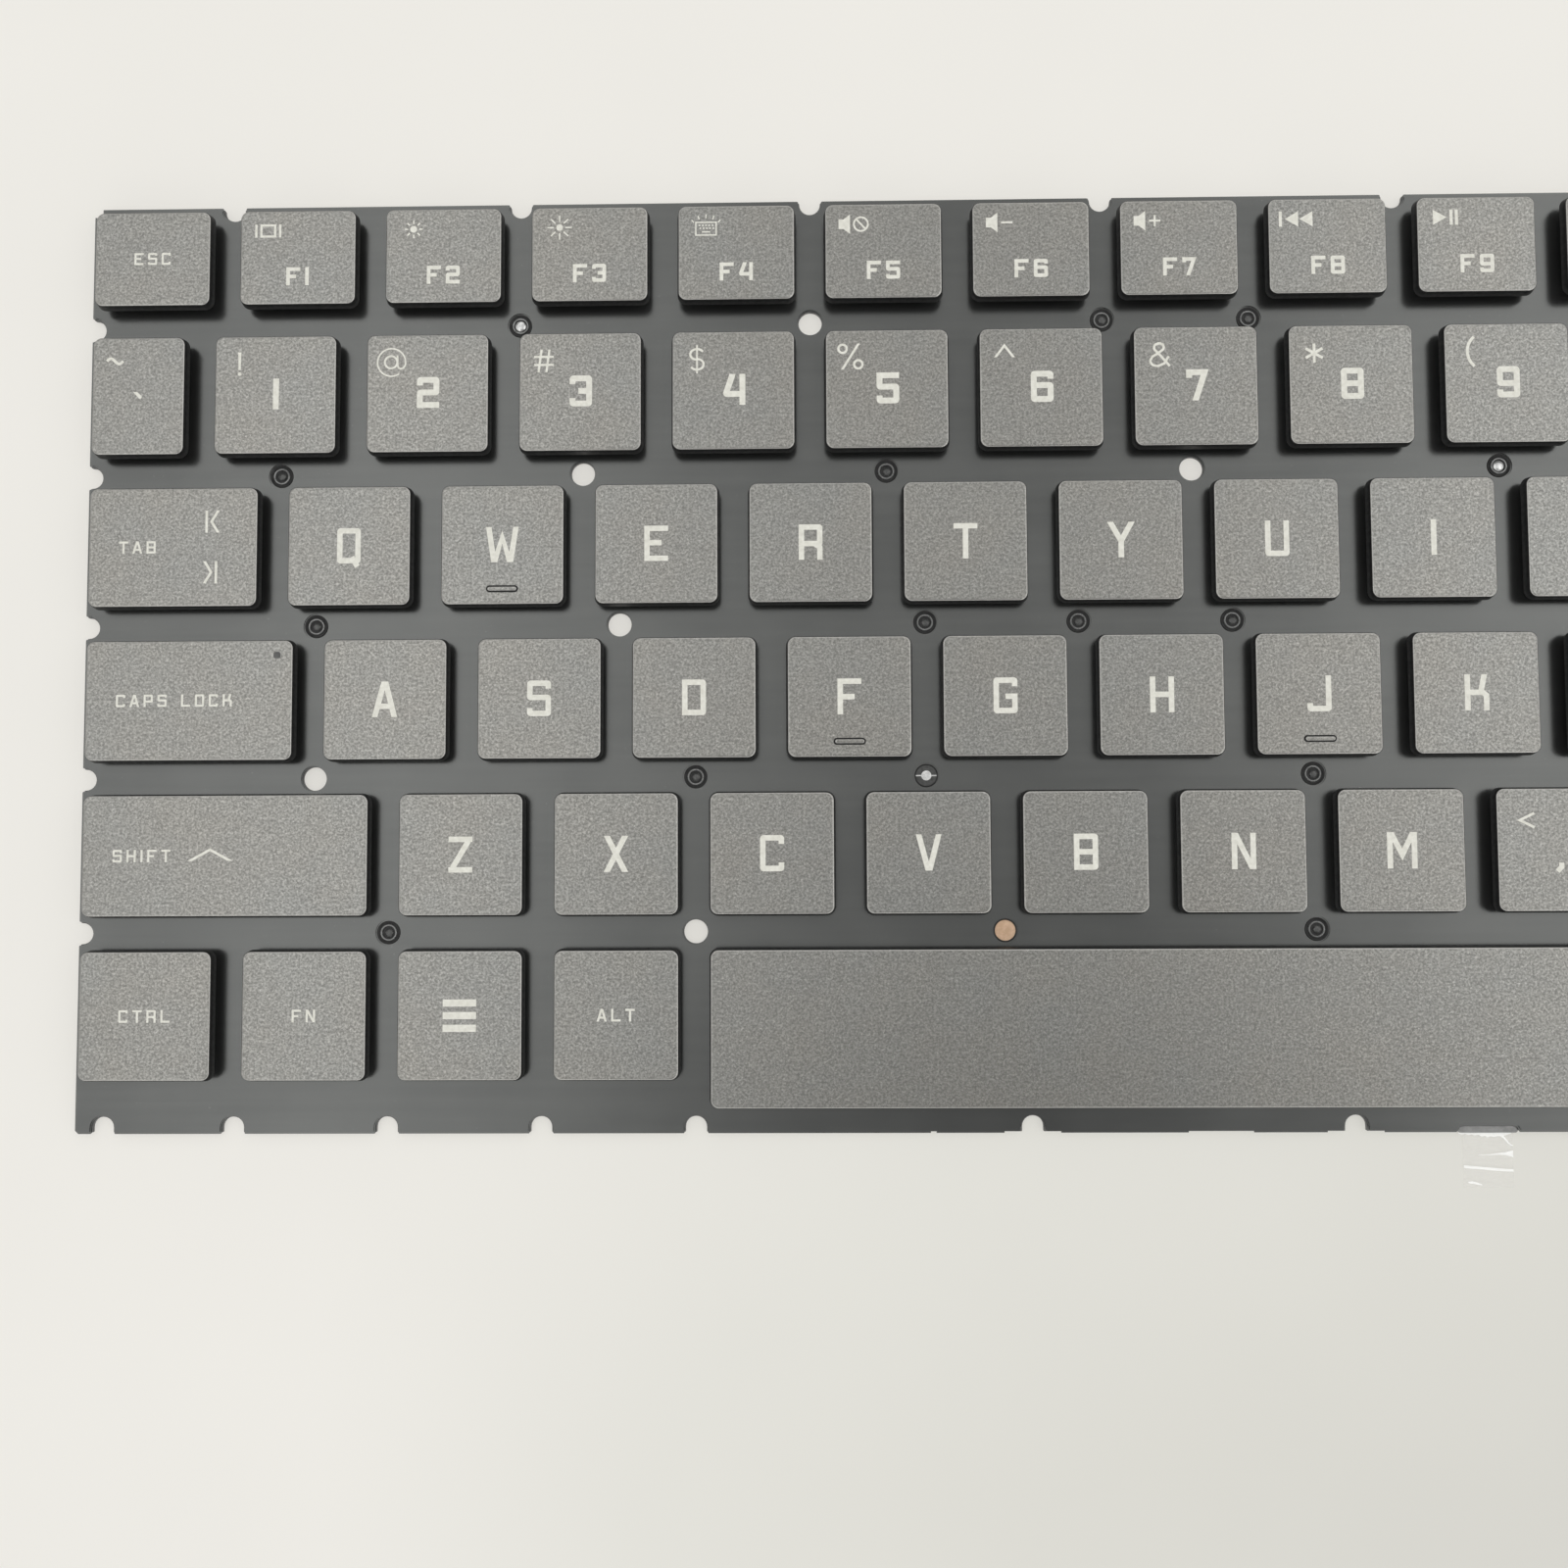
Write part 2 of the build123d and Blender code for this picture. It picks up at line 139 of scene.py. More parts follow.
# Lettering
LETTER = dict(height=4.32, width=2.88, stroke=0.66, gap=0.6)
DIGIT = dict(height=3.83, width=2.74, stroke=0.72, gap=0.6)
F_TEXT = dict(height=2.26, width=1.72, stroke=0.45, gap=0.62)
WORD = dict(height=1.5, width=1.12, stroke=0.25, gap=0.57)
BLANK = 0.55
LEGEND_SINK = 0.03
LEGEND_RISE = 0.012
STROKE_STEP = 0.0007

ROWS = [
    ["esc"] + [f"f{number}" for number in range(1, 13)] + ["insert", "delete"],
    ["grave", *"1234567890", "minus", "equals", "backspace"],
    ["tab", *"qwertyuiop", "left_bracket", "right_bracket", "backslash"],
    ["caps_lock", *"asdfghjkl", "semicolon", "quote", "enter"],
    ["left_shift", *"zxcvbnm", "comma", "period", "slash", "right_shift"],
    ["left_ctrl", "fn", "start", "left_alt", "space", "right_alt", "arrow_left", "arrow_up", "arrow_down",
     "arrow_right"],
]
F_ROW, NUMBER_ROW, Q_ROW, A_ROW, Z_ROW, FRONT_ROW = range(len(ROWS))
WIDE_KEYS = ("backspace", "enter", "left_shift", "right_shift", "space")


def put(name, data):
    """A new object in the scene."""
    made = bpy.data.objects.new(name, data)
    bpy.context.scene.collection.objects.link(made)
    return made


class Rect:
    """A key's outline, from above."""

    def __init__(self, low, high):
        self.x0, self.y0, self.x1, self.y1 = low[0], low[1], high[0], high[1]
        self.x, self.y = (self.x0 + self.x1) / 2, (self.y0 + self.y1) / 2
        self.width, self.depth = self.x1 - self.x0, self.y1 - self.y0


def faced_outwards(whole, mesh):
    """The mesh with what was edited, every face outwards."""
    bmesh.ops.recalc_face_normals(whole, faces=whole.faces)
    whole.to_mesh(mesh)
    whole.free()
    mesh.update()
    return mesh


class Shape:
    """Vertices and faces of a piece, gathered in mm."""

    def __init__(self):
        self.verts, self.faces, self.smooth, self.slots = [], [], [], []

    def add(self, verts, faces, smooth=False):
        start = len(self.verts)
        self.verts += [tuple(v) for v in verts]
        self.faces += [[start + i for i in face] for face in faces]
        self.smooth += [smooth] * len(faces)
        self.slots += [0] * len(faces)

    def add_shape(self, other, matrix):
        start = len(self.verts)
        self.verts += [tuple(matrix @ Vector(v)) for v in other.verts]
        self.faces += [[start + i for i in face] for face in other.faces]
        self.smooth += other.smooth
        self.slots += other.slots

    def mesh(self, name):
        mesh = bpy.data.meshes.new(name)
        mesh.from_pydata([[c * MM for c in v] for v in self.verts], [], self.faces)
        mesh.polygons.foreach_set("use_smooth", self.smooth)
        mesh.polygons.foreach_set("material_index", self.slots)
        whole = bmesh.new()
        whole.from_mesh(mesh)
        return faced_outwards(whole, mesh)


def box_mm(node):
    low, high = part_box(node)
    return low / MM, high / MM


def island_boxes(node):
    """The box of each separate solid in a node, in mm."""
    whole = bmesh.new()
    whole.from_mesh(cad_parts[node].data)
    bmesh.ops.remove_doubles(whole, verts=whole.verts, dist=1e-6)
    left, boxes = set(whole.verts), []
    while left:
        todo, found = [left.pop()], []
        while todo:
            vert = todo.pop()
            found.append(vert.co / MM)
            for edge in vert.link_edges:
                other = edge.other_vert(vert)
                if other in left:
                    left.remove(other)
                    todo.append(other)
        boxes.append([[pick(c[i] for c in found) for i in range(3)] for pick in (min, max)])
    whole.free()
    return boxes


# Where every key is: the moving ones by their nodes, those at the right by the solids of their group
keys = {}
for row in ROWS:
    for name in row:
        if f"key_{name}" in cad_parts:
            keys[name] = Rect(*box_mm(f"key_{name}"))
moving = list(keys)
row_middles = [keys[row[1]].y for row in ROWS]
fixed_boxes = [[] for _ in ROWS]
for low, high in island_boxes("right_hand_keys"):
    middle = (low[1] + high[1]) / 2
    nearest = min(range(len(ROWS)), key=lambda i: abs(row_middles[i] - middle))
    fixed_boxes[nearest].append((low, high))
for row, boxes in zip(ROWS, fixed_boxes):
    boxes.sort(key=lambda b: (round(b[0][0], 2), -b[0][1]))
    for name, (low, high) in zip([n for n in row if n not in moving], boxes):
        keys[name] = Rect(low, high)
fixed = [name for name in keys if name not in moving]

membrane_low, membrane_high = box_mm("switch_membrane")
plate_low, plate_high = box_mm("base_plate")
LEFT, FRONT, RIGHT, BACK = membrane_low[0], membrane_low[1], membrane_high[0], membrane_high[1]
DECK_Z = membrane_high[2]
SKIRT_Z = box_mm("key_esc")[0][2]
TOP_Z = SKIRT_Z + CAP_HEIGHT
ROOF_Z = TOP_Z - CAP_ROOF


def gap_x(row, place):
    """The middle of the gap after a key in a row."""
    return (keys[ROWS[row][place]].x1 + keys[ROWS[row][place + 1]].x0) / 2


def line_y(row):
    """The middle of the gap in front of a row."""
    return (keys[ROWS[row][0]].y0 + keys[ROWS[row + 1][0]].y1) / 2


# Holes between the rows: the row they lie in front of, the row whose gaps place them, the places of each kind
HOLES = [
    (F_ROW, F_ROW, dict(open=[4, 10], collar=[6, 7], bright=[2])),
    (NUMBER_ROW, Q_ROW, dict(open=[2, 6], collar=[0, 4], bright=[8])),
    (Q_ROW, A_ROW, dict(open=[2, 10], collar=[0, 4, 5, 6])),
    (A_ROW, A_ROW, dict(open=[0, 11], slit=[4])),
    (A_ROW, Z_ROW, dict(collar=[2, 6])),
    (Z_ROW, Z_ROW, dict(open=[2, 10], copper=[4], collar=[0, 6])),
]
holes = {kind: [] for kind in ("open", "collar", "bright", "slit", "copper")}
for line, row, kinds in HOLES:
    for kind, places in kinds.items():
        holes[kind] += [(gap_x(row, place), line_y(line)) for place in places]
riveted = holes["collar"] + holes["bright"] + holes["slit"] + holes["copper"]

side_notch_ys = sorted(line_y(row) for row in range(len(ROWS) - 1))
back_notch_xs = [gap_x(F_ROW, place) for place in range(0, len(ROWS[F_ROW]) - 1, 2)]
space = keys["space"]
front_notch_xs = sorted(
    [LEFT + END_NOTCH_FROM_SIDE, RIGHT - END_NOTCH_FROM_SIDE]
    + [gap_x(FRONT_ROW, place) for place in range(NOTCHED_FRONT_GAPS)]
    + [space.x0 + space.width / 3, space.x1 - space.width / 3]
)
tape_low, tape_high = box_mm("clear_tape")
tape_x = (tape_low[0] + tape_high[0]) / 2


def circle(x, y, radius, steps=32):
    turn = 2 * math.pi / steps
    return [(x + radius * math.cos(i * turn), y + radius * math.sin(i * turn)) for i in range(steps)]


def mirrored(points):
    """The same path on the other side of the middle, in the other direction."""
    return [(-x, y) for x, y in reversed(points)]


def left_of(along):
    return Vector((-along.y, along.x))


def turns_left(into, out):
    return into.x * out.y > into.y * out.x


def edge_points(start, end, features):
    """Points from start towards end. A feature, (distance, points as (along, inward)), bites to the left."""
    along = (end - start).normalized()
    inward = left_of(along)
    points = [start]
    for distance, bite in sorted(features, key=lambda f: f[0]):
        points += [start + along * (distance + a) + inward * i for a, i in bite]
    return points


def u_notch(half, depth, ease):
    """A notch with a round end, whose mouth is eased."""
    turns = [math.pi * i / NOTCH_ARC_STEPS for i in range(NOTCH_ARC_STEPS + 1)]
    round_end = [(-half * math.cos(turn), depth - half + half * math.sin(turn)) for turn in turns]
    mouth = [(half, ease), (half + ease * 0.3, ease * 0.3), (half + ease, 0)]
    return mirrored(mouth) + round_end + mouth


def recess(half, depth, corner):
    """A shallow cut with rounded inner corners."""
    right = [
        (half - corner, depth), (half - corner * 0.2, depth - corner * 0.3), (half, depth * 0.35),
        (half + corner * 0.4, 0),
    ]
    return mirrored(right) + right


# Small steps that the front edge shows in front of the space bar: left and right end, depth
FRONT_STEPS = [(-31.0, -30.3, 0.35), (-0.2, 7.6, 0.22)]
NOTCH_STEPS = 0.22
NOTCH_STEPS_REACH = 3.4


def sheet_outline(inset, widen, deepen, with_steps):
    """A sheet's outline, counter-clockwise: inset from the edge, its notches wider and deeper by so much."""
    left, right, front, back = LEFT + inset, RIGHT - inset, FRONT + inset, BACK - inset
    cut = CORNER_NOTCH
    half = NOTCH_WIDTH / 2 + widen
    start = Vector((left + FRONT_CHAMFER, front))
    features = []
    for x in front_notch_xs:
        bite = u_notch(half, FRONT_NOTCH_DEPTH + deepen - inset, FRONT_NOTCH_EASE)
        if with_steps and space.x0 + half < x < space.x1 - half:
            bite = (
                [(-NOTCH_STEPS_REACH, 0), (-NOTCH_STEPS_REACH, NOTCH_STEPS)]
                + [(a, i) for a, i in bite if i > NOTCH_STEPS]
                + [(NOTCH_STEPS_REACH, NOTCH_STEPS), (NOTCH_STEPS_REACH, 0)]
            )
        features.append((x - start.x, bite))
    recess_half = (tape_high[0] - tape_low[0]) / 2 + RECESS_MARGIN
    bite = recess(recess_half + widen, RECESS_DEPTH + deepen - inset, RECESS_CORNER)
    features.append((tape_x - start.x, bite))
    if with_steps:
        for x0, x1, depth in FRONT_STEPS:
            reach = (x1 - x0) / 2
            bite = [(-reach, 0), (-reach, depth), (reach, depth), (reach, 0)]
            features.append(((x0 + x1) / 2 - start.x, bite))
    points = edge_points(start, Vector((right - FRONT_CHAMFER, front)), features)
    points.append(Vector((right - FRONT_CHAMFER, front)))
    side_depth = SIDE_NOTCH_DEPTH + deepen - inset
    start = Vector((right, front + FRONT_CHAMFER))
    side_bite = u_notch(half, side_depth, SIDE_NOTCH_EASE)
    points += edge_points(start, Vector((right, back)), [(y - start.y, side_bite) for y in side_notch_ys])
    points += [Vector((right, back - cut)), Vector((right - cut, back - cut))]
    start = Vector((right - cut, back))
    points += edge_points(start, Vector((left, back)), [(start.x - x, side_bite) for x in back_notch_xs])
    points += [Vector((left + cut, back)), Vector((left + cut, back - cut))]
    start = Vector((left, back - cut))
    points += edge_points(start, Vector((left, front)), [(start.y - y, side_bite) for y in side_notch_ys])
    points.append(Vector((left, front + FRONT_CHAMFER)))
    return [tuple(p) for p in points]


def sheet_mesh(name, outline, hole_loops, low, high):
    """A flat sheet between two heights, with holes."""
    curve = bpy.data.curves.new(name, "CURVE")
    curve.dimensions = "2D"
    curve.fill_mode = "BOTH"
    curve.extrude = (high - low) / 2 * MM
    for loop in [outline] + hole_loops:
        spline = curve.splines.new("POLY")
        spline.points.add(len(loop) - 1)
        for point, (x, y) in zip(spline.points, loop):
            point.co = (x * MM, y * MM, 0, 1)
        spline.use_cyclic_u = True
    drawn = put(name, curve)
    mesh = bpy.data.meshes.new_from_object(drawn.evaluated_get(bpy.context.evaluated_depsgraph_get()))
    bpy.data.objects.remove(drawn)
    bpy.data.curves.remove(curve)
    mesh.name = name
    mesh.materials.clear()
    whole = bmesh.new()
    whole.from_mesh(mesh)
    bmesh.ops.remove_doubles(whole, verts=whole.verts, dist=1e-7)
    bmesh.ops.translate(whole, verts=whole.verts, vec=(0, 0, (low + high) / 2 * MM))
    for face in whole.faces:
        face.smooth = False
    return faced_outwards(whole, mesh)


def rounded_rect(rect, inset, radius):
    """A rectangle with rounded corners, counter-clockwise."""
    points = []
    corners = [
        (rect.x1 - inset, rect.y0 + inset, -90), (rect.x1 - inset, rect.y1 - inset, 0),
        (rect.x0 + inset, rect.y1 - inset, 90), (rect.x0 + inset, rect.y0 + inset, 180),
    ]
    for x, y, first in corners:
        into_x = -radius if x > rect.x else radius
        into_y = -radius if y > rect.y else radius
        for i in range(CORNER_STEPS + 1):
            angle = math.radians(first + 90 * i / CORNER_STEPS)
            points.append((x + into_x + radius * math.cos(angle), y + into_y + radius * math.sin(angle)))
    return points


def band(count, first=0):
    """The faces between a ring and the next one."""
    turned = [(i, (i + 1) % count) for i in range(count)]
    return [[first + i, first + j, first + count + j, first + count + i] for i, j in turned]


def loft(shape, rings, dark_bands=0):
    """A closed skin through rings of equal count, the first and last filled. The first bands may be dark."""
    count, bands = len(rings[0]), len(rings) - 1
    sides = [face for r in range(bands) for face in band(count, r * count)]
    ends = [list(range(count)), list(range(bands * count, bands * count + count))]
    start = len(shape.faces)
    shape.add([point for ring in rings for point in ring], sides + ends)
    shape.smooth[start:] = [True] * len(sides) + [False] * len(ends)
    if dark_bands:
        shape.slots[start:] = [DARK if i < dark_bands * count else 0 for i in range(len(sides))] + [DARK, 0]


def at_height(points, z):
    return [(x, y, z) for x, y in points]


def stack(shape, x, y, steps, sides=32):
    """A round body through circles, each as its radius and height."""
    loft(shape, [at_height(circle(x, y, radius, sides), z) for radius, z in steps])


def add_cap(shape, name):
    """A hollow keycap with a flared foot and rounded edges, and on some keys a finder bar."""
    rect = keys[name]
    rings = [
        at_height(rounded_rect(rect, CAP_WALL, INNER_CORNER), ROOF_Z),
        at_height(rounded_rect(rect, CAP_WALL, INNER_CORNER), SKIRT_Z),
        # The flared foot is dark: partly painted shade for the shadow gap round the cap's base
        at_height(rounded_rect(rect, CAP_FOOT - CAP_FLARE, CAP_CORNER - CAP_FOOT + CAP_FLARE), SKIRT_Z),
        at_height(rounded_rect(rect, -CAP_FLARE, CAP_CORNER + CAP_FLARE), SKIRT_Z + CAP_FOOT),
    ]
    for i in range(EDGE_STEPS + 1):
        angle = math.pi / 2 * i / EDGE_STEPS
        inset = CAP_EDGE * (1 - math.cos(angle))
        height = TOP_Z - CAP_EDGE + CAP_EDGE * math.sin(angle)
        rings.append(at_height(rounded_rect(rect, inset, CAP_CORNER - inset), height))
    loft(shape, rings, dark_bands=DARK_BANDS)
    if name in FINDER_KEYS:
        middle = rect.y0 + FINDER_FROM_FRONT
        half_x, half_y = FINDER_LENGTH / 2, FINDER_WIDTH / 2
        bar = Rect((rect.x - half_x, middle - half_y), (rect.x + half_x, middle + half_y))
        rounds = [(rounded_rect(bar, inset, half_y - inset), rise) for inset, rise in FINDER_STEPS]
        loft(shape, [at_height(ring, TOP_Z + rise) for ring, rise in rounds], dark_bands=FINDER_DARK_BANDS)


# Lettering: each glyph is strokes on a square from 0 to 1, "!" keeps a corner sharp and "@" closes a stroke
GLYPHS = {
    "A": ["0,0 .43,1", ".57,1 1,0", ".2,.27 .8,.27"],
    "B": ["0,.5! 0,1! 1,1 1,.5 @", "0,0! 0,.5! 1,.5 1,0 @"],
    "C": ["1,.8 1,1 0,1 0,0 1,0 1,.2"],
    "D": ["0,0! 0,1! 1,1 1,0 @"],
    "E": ["1,1 0,1! 0,0! 1,0", "0,.52 .8,.52"],
    "F": ["1,1 0,1! 0,0", "0,.49 .78,.49"],
    "G": ["1,.8 1,1 0,1 0,0 1,0 1,.47! .5,.47"],
    "H": ["0,0 0,1", "1,0 1,1", "0,.5 1,.5"],
    "I": ["0,0 0,1"],
    "J": ["1,1 1,0 0,0 0,.18"],
    "K": ["0,0 0,1", ".88,1 .7,.5", "0,.5 .82,.5! 1,.4! 1,0"],
    "L": ["0,1 0,0! 1,0"],
    "M": ["0,0 0,1", "1.3,0 1.3,1", ".12,1 .65,.36! 1.18,1"],
    "N": ["0,0 0,1", "1,0 1,1", ".1,1 .9,0"],
    "O": ["0,0 0,1 1,1 1,0 @"],
    "P": ["0,0 0,1! 1,1 1,.43 .5,.43", "0,.43 .6,.43"],
    "Q": ["0,0 0,1 1,1 1,0 @", ".66,.12 .98,-.2"],
    "R": ["0,0 0,1! 1,1 1,.45 .5,.45", "0,.45 .7,.45 1,.33 1,0"],
    "S": ["1,.82 1,1 0,1 0,.53 1,.53 1,0 0,0 0,.18"],
    "T": ["0,1 1,1", ".5,1 .5,0"],
    "U": ["0,1 0,0 1,0 1,1"],
    "V": ["0,1 .43,0", ".57,0 1,1"],
    "W": ["0,1 .25,0", ".35,0 .72,.75! 1.1,0", "1.2,0 1.45,1"],
    "X": ["0,0 .84,1", "0,1 .84,0"],
    "Y": ["0,1 .5,.45", "1,1 .5,.45", ".5,.5 .5,0"],
    "Z": ["0,1 1,1", "0,0 1,0", ".93,.94 .07,.06"],
    "0": ["0,0 0,1 1,1 1,0 @"],
    "1": ["0,0 0,1"],
    "2": ["0,.78 0,1 1,1 1,.5 0,.5 0,0! 1,0"],
    "3": ["0,.78 0,1 1,1 1,.5 .35,.5", ".35,.5 1,.5 1,0 0,0 0,.22"],
    "4": [".35,1 0,.32 1,.32", "1,1 1,0"],
    "5": ["1,1 0,1! 0,.55 1,.55 1,0 0,0 0,.2"],
    "6": ["1,.8 1,1 0,1 0,0 1,0 1,.55 .5,.55", "0,.55 .6,.55"],
    "7": ["0,.78 0,1! .9,1", ".93,1 .42,0"],
    "8": ["0,.5 0,1 1,1 1,.5 @", "0,0 0,.5 1,.5 1,0 @"],
    "9": ["0,.2 0,0 1,0 1,1 0,1 0,.45 .5,.45", ".4,.45 1,.45"],
    "[": [".7,1 0,1! 0,0! .7,0"],
    "]": ["0,1 .7,1! .7,0! 0,0"],
    "-": ["0,.45 1,.45"],
    "=": ["0,.3 1,.3", "0,.62 1,.62"],
    "/": ["0,0 .8,1"],
    "\\": ["0,1 .8,0"],
    ";": ["0,.52 0,.68", "0,.2 0,.02 -.22,-.18"],
    "'": ["0,1 0,.72"],
    ",": ["0,.16 0,-.02 -.22,-.2"],
    ".": ["0,0 0,.1"],
    "<": [".9,.85 0,.45! .9,.05"],
    ">": ["0,.85 .9,.45! 0,.05"],
}
ROUND_GLYPHS = "BCDGJOPQRSU02345689"
TURN_RADIUS = 0.64
TURN_STEPS = 5
EASE_LIMIT = 0.48
STEEP = 0.3
MITRE = 0.42
UPRIGHT = 0.5
LEVEL = 0.9
DISC_SIDES = 24


def read_path(path):
    """The points of a stroke, which of them are sharp, and whether it is closed."""
    words = path.replace("@", "").split()
    points = [tuple(float(c) for c in word.rstrip("!").split(",")) for word in words]
    return points, [word.endswith("!") for word in words], path.endswith("@")


def glyph_span(letter):
    return max(0, *(u for path in GLYPHS[letter] for u, _ in read_path(path)[0]))


def swing(middle, spoke, angle):
    """Points at the end of a spoke that swings through an angle."""
    turns = [angle * step / TURN_STEPS for step in range(TURN_STEPS + 1)]
    return [middle + Matrix.Rotation(turn, 2) @ spoke for turn in turns]


def eased(points, radius):
    """An open path whose turns are round arcs."""
    result = [points[0]]
    for before, point, after in zip(points, points[1:], points[2:]):
        a, b = before - point, after - point
        half_angle = a.angle(b) / 2
        reach = min(radius / math.tan(half_angle), a.length * EASE_LIMIT, b.length * EASE_LIMIT)
        middle = point + (a.normalized() + b.normalized()).normalized() * (reach / math.cos(half_angle))
        first, last = point + a.normalized() * reach - middle, point + b.normalized() * reach - middle
        result += swing(middle, first, -first.angle_signed(last))
    return result + [points[-1]]


def turn_points(corner, into, out, inward, radius):
    """A round outer corner that starts from the line into it and ends on the line out of it."""
    angle = into.angle(out)
    middle = corner + inward * (radius / math.cos(angle / 2))
    spoke = corner - into * (radius * math.tan(angle / 2)) - middle
    return swing(middle, spoke, angle if turns_left(into, out) else -angle)


def stroke(shape, points, width, low, high, closed=False, cuts=(None, None), turn=0.0, sharp=()):
    """A flat line of one width along a path, as a closed body. A cut of 0 ends it level. Its turns are sharp
    inside, and round outside by the turn radius, apart from the sharp ones."""
    points = [Vector(p) for p in points]
    count = len(points)
    half = width / 2
    pairs = []
    for i, point in enumerate(points):
        before = points[i - 1] if closed or i else None
        after = points[(i + 1) % count] if closed or i < count - 1 else None
        into = (point - before).normalized() if before is not None else None
        out = (after - point).normalized() if after is not None else None
        if into is None or out is None:
            along = out or into
            normal = left_of(along)
            cut = cuts[0] if into is None else cuts[1]
            offset = normal * half
            if cut == 0 and abs(normal.x) > STEEP:
                offset = Vector((half / normal.x, 0))
            pairs.append(([point + offset], [point - offset]))
            continue
        normal = (left_of(into) + left_of(out)).normalized()
        offset = normal * (half / max(MITRE, normal.dot(left_of(out))))
        left, right = [point + offset], [point - offset]
        if turn and not sharp[i]:
            if turns_left(into, out):
                right = turn_points(right[0], into, out, normal, turn)
            else:
                left = turn_points(left[0], into, out, -normal, turn)
        pairs.append((left, right))
    verts, faces, ids = [], [], []
    for pair in pairs:
        ids.append([])
        for side in pair:
            ids[-1].append([len(verts) + 2 * k for k in range(len(side))])
            for x, y in side:
                verts += [(x, y, high), (x, y, low)]
    for left, right in ids:
        for chain, hub in ((left, right[0]), (right, left[0])):
            for a, b in zip(chain, chain[1:]):
                faces += [[a, b, hub], [a + 1, b + 1, hub + 1], [a, b, b + 1, a + 1]]
    for i in range(count if closed else count - 1):
        a, b = ids[i][0][-1], ids[i][1][-1]
        c, d = ids[(i + 1) % count][1][0], ids[(i + 1) % count][0][0]
        faces += [[a, b, c, d], [a + 1, b + 1, c + 1, d + 1], [a, d, d + 1, a + 1], [b, c, c + 1, b + 1]]
    if not closed:
        for left, right in (ids[0], ids[-1]):
            faces.append([left[0], right[0], right[0] + 1, left[0] + 1])
    shape.add(verts, faces)


def prism(shape, outline, low, high):
    """A flat body with that outline."""
    count = len(outline)
    ends = [list(range(count)), list(range(count, 2 * count))]
    shape.add(at_height(outline, low) + at_height(outline, high), band(count) + ends)


class Legend:
    """Lettering on one key top. Each stroke lies a hair higher than the last, so no two faces coincide."""

    def __init__(self, shape, rect):
        self.shape, self.rect, self.strokes = shape, rect, 0
        self.move(0, 0)

    def move(self, x, y):
        """Sets the place that points count from, relative to the key's middle."""
        self.x, self.y = self.rect.x + x, self.rect.y + y

    def heights(self):
        self.strokes += 1
        return TOP_Z - LEGEND_SINK, TOP_Z + LEGEND_RISE + self.strokes * STROKE_STEP

    def placed(self, points):
        return [(self.x + x, self.y + y) for x, y in points]

    def line(self, points, width, **ways):
        stroke(self.shape, self.placed(points), width, *self.heights(), **ways)

    def fill(self, points):
        prism(self.shape, self.placed(points), *self.heights())

    def glyph(self, letter, left, bottom, height, width, stroke):
        """One glyph from its left and bottom edge, relative to the key's middle."""
        for path in GLYPHS[letter]:
            unit, sharp, closed = read_path(path)
            x, y, across, up = left + stroke / 2, bottom + stroke / 2, width - stroke, height - stroke
            points = [Vector((x + u * across, y + v * up)) for u, v in unit]
            cuts = [None, None]
            if not closed:
                for end, inner in ((0, 1), (-1, -2)):
                    along = (points[end] - points[inner]).normalized()
                    u, v = unit[end]
                    if abs(along.y) > UPRIGHT and v in (0, 1):
                        cuts[end] = 0
                        points[end] = points[end] + along * (stroke / 2 / abs(along.y))
                    elif abs(along.x) > LEVEL and u in (0, 1):
                        points[end] = points[end] + along * (stroke / 2)
            turn = stroke * TURN_RADIUS if letter in ROUND_GLYPHS else 0
            self.line(points, stroke, closed=closed, cuts=cuts, turn=turn, sharp=sharp)

    def text(self, words, x=0.0, y=0.0, left=None, *, height, width, stroke, gap):
        """A line of text round (x, y), or from left."""
        spans = [BLANK * width if c == " " else stroke + glyph_span(c) * (width - stroke) for c in words]
        at = x - (sum(spans) + gap * (len(words) - 1)) / 2 if left is None else left
        for letter, span in zip(words, spans):
            if letter != " ":
                self.glyph(letter, at, y - height / 2, height, width, stroke)
            at += span + gap

    def ring(self, x, y, radius, width):
        self.line(circle(x, y, radius), width, closed=True)

    def disc(self, x, y, radius):
        self.fill(circle(x, y, radius, DISC_SIDES))

    def rays(self, inner, outer, count, width, first=0.0):
        for i in range(count):
            angle = first + 2 * math.pi * i / count
            c, s = math.cos(angle), math.sin(angle)
            self.line([(inner * c, inner * s), (outer * c, outer * s)], width)


def arc(x, y, radius, first, last, steps, stretch=1.0):
    """Points on an arc, in degrees."""
    points = []
    for i in range(steps + 1):
        angle = math.radians(first + (last - first) * i / steps)
        points.append((x + radius * math.cos(angle), y + stretch * radius * math.sin(angle)))
    return points


THIN = 0.27
WAVE_STEPS = 16
DOT = [(-0.1, -0.1), (0.1, -0.1), (0.1, 0.1), (-0.1, 0.1)]


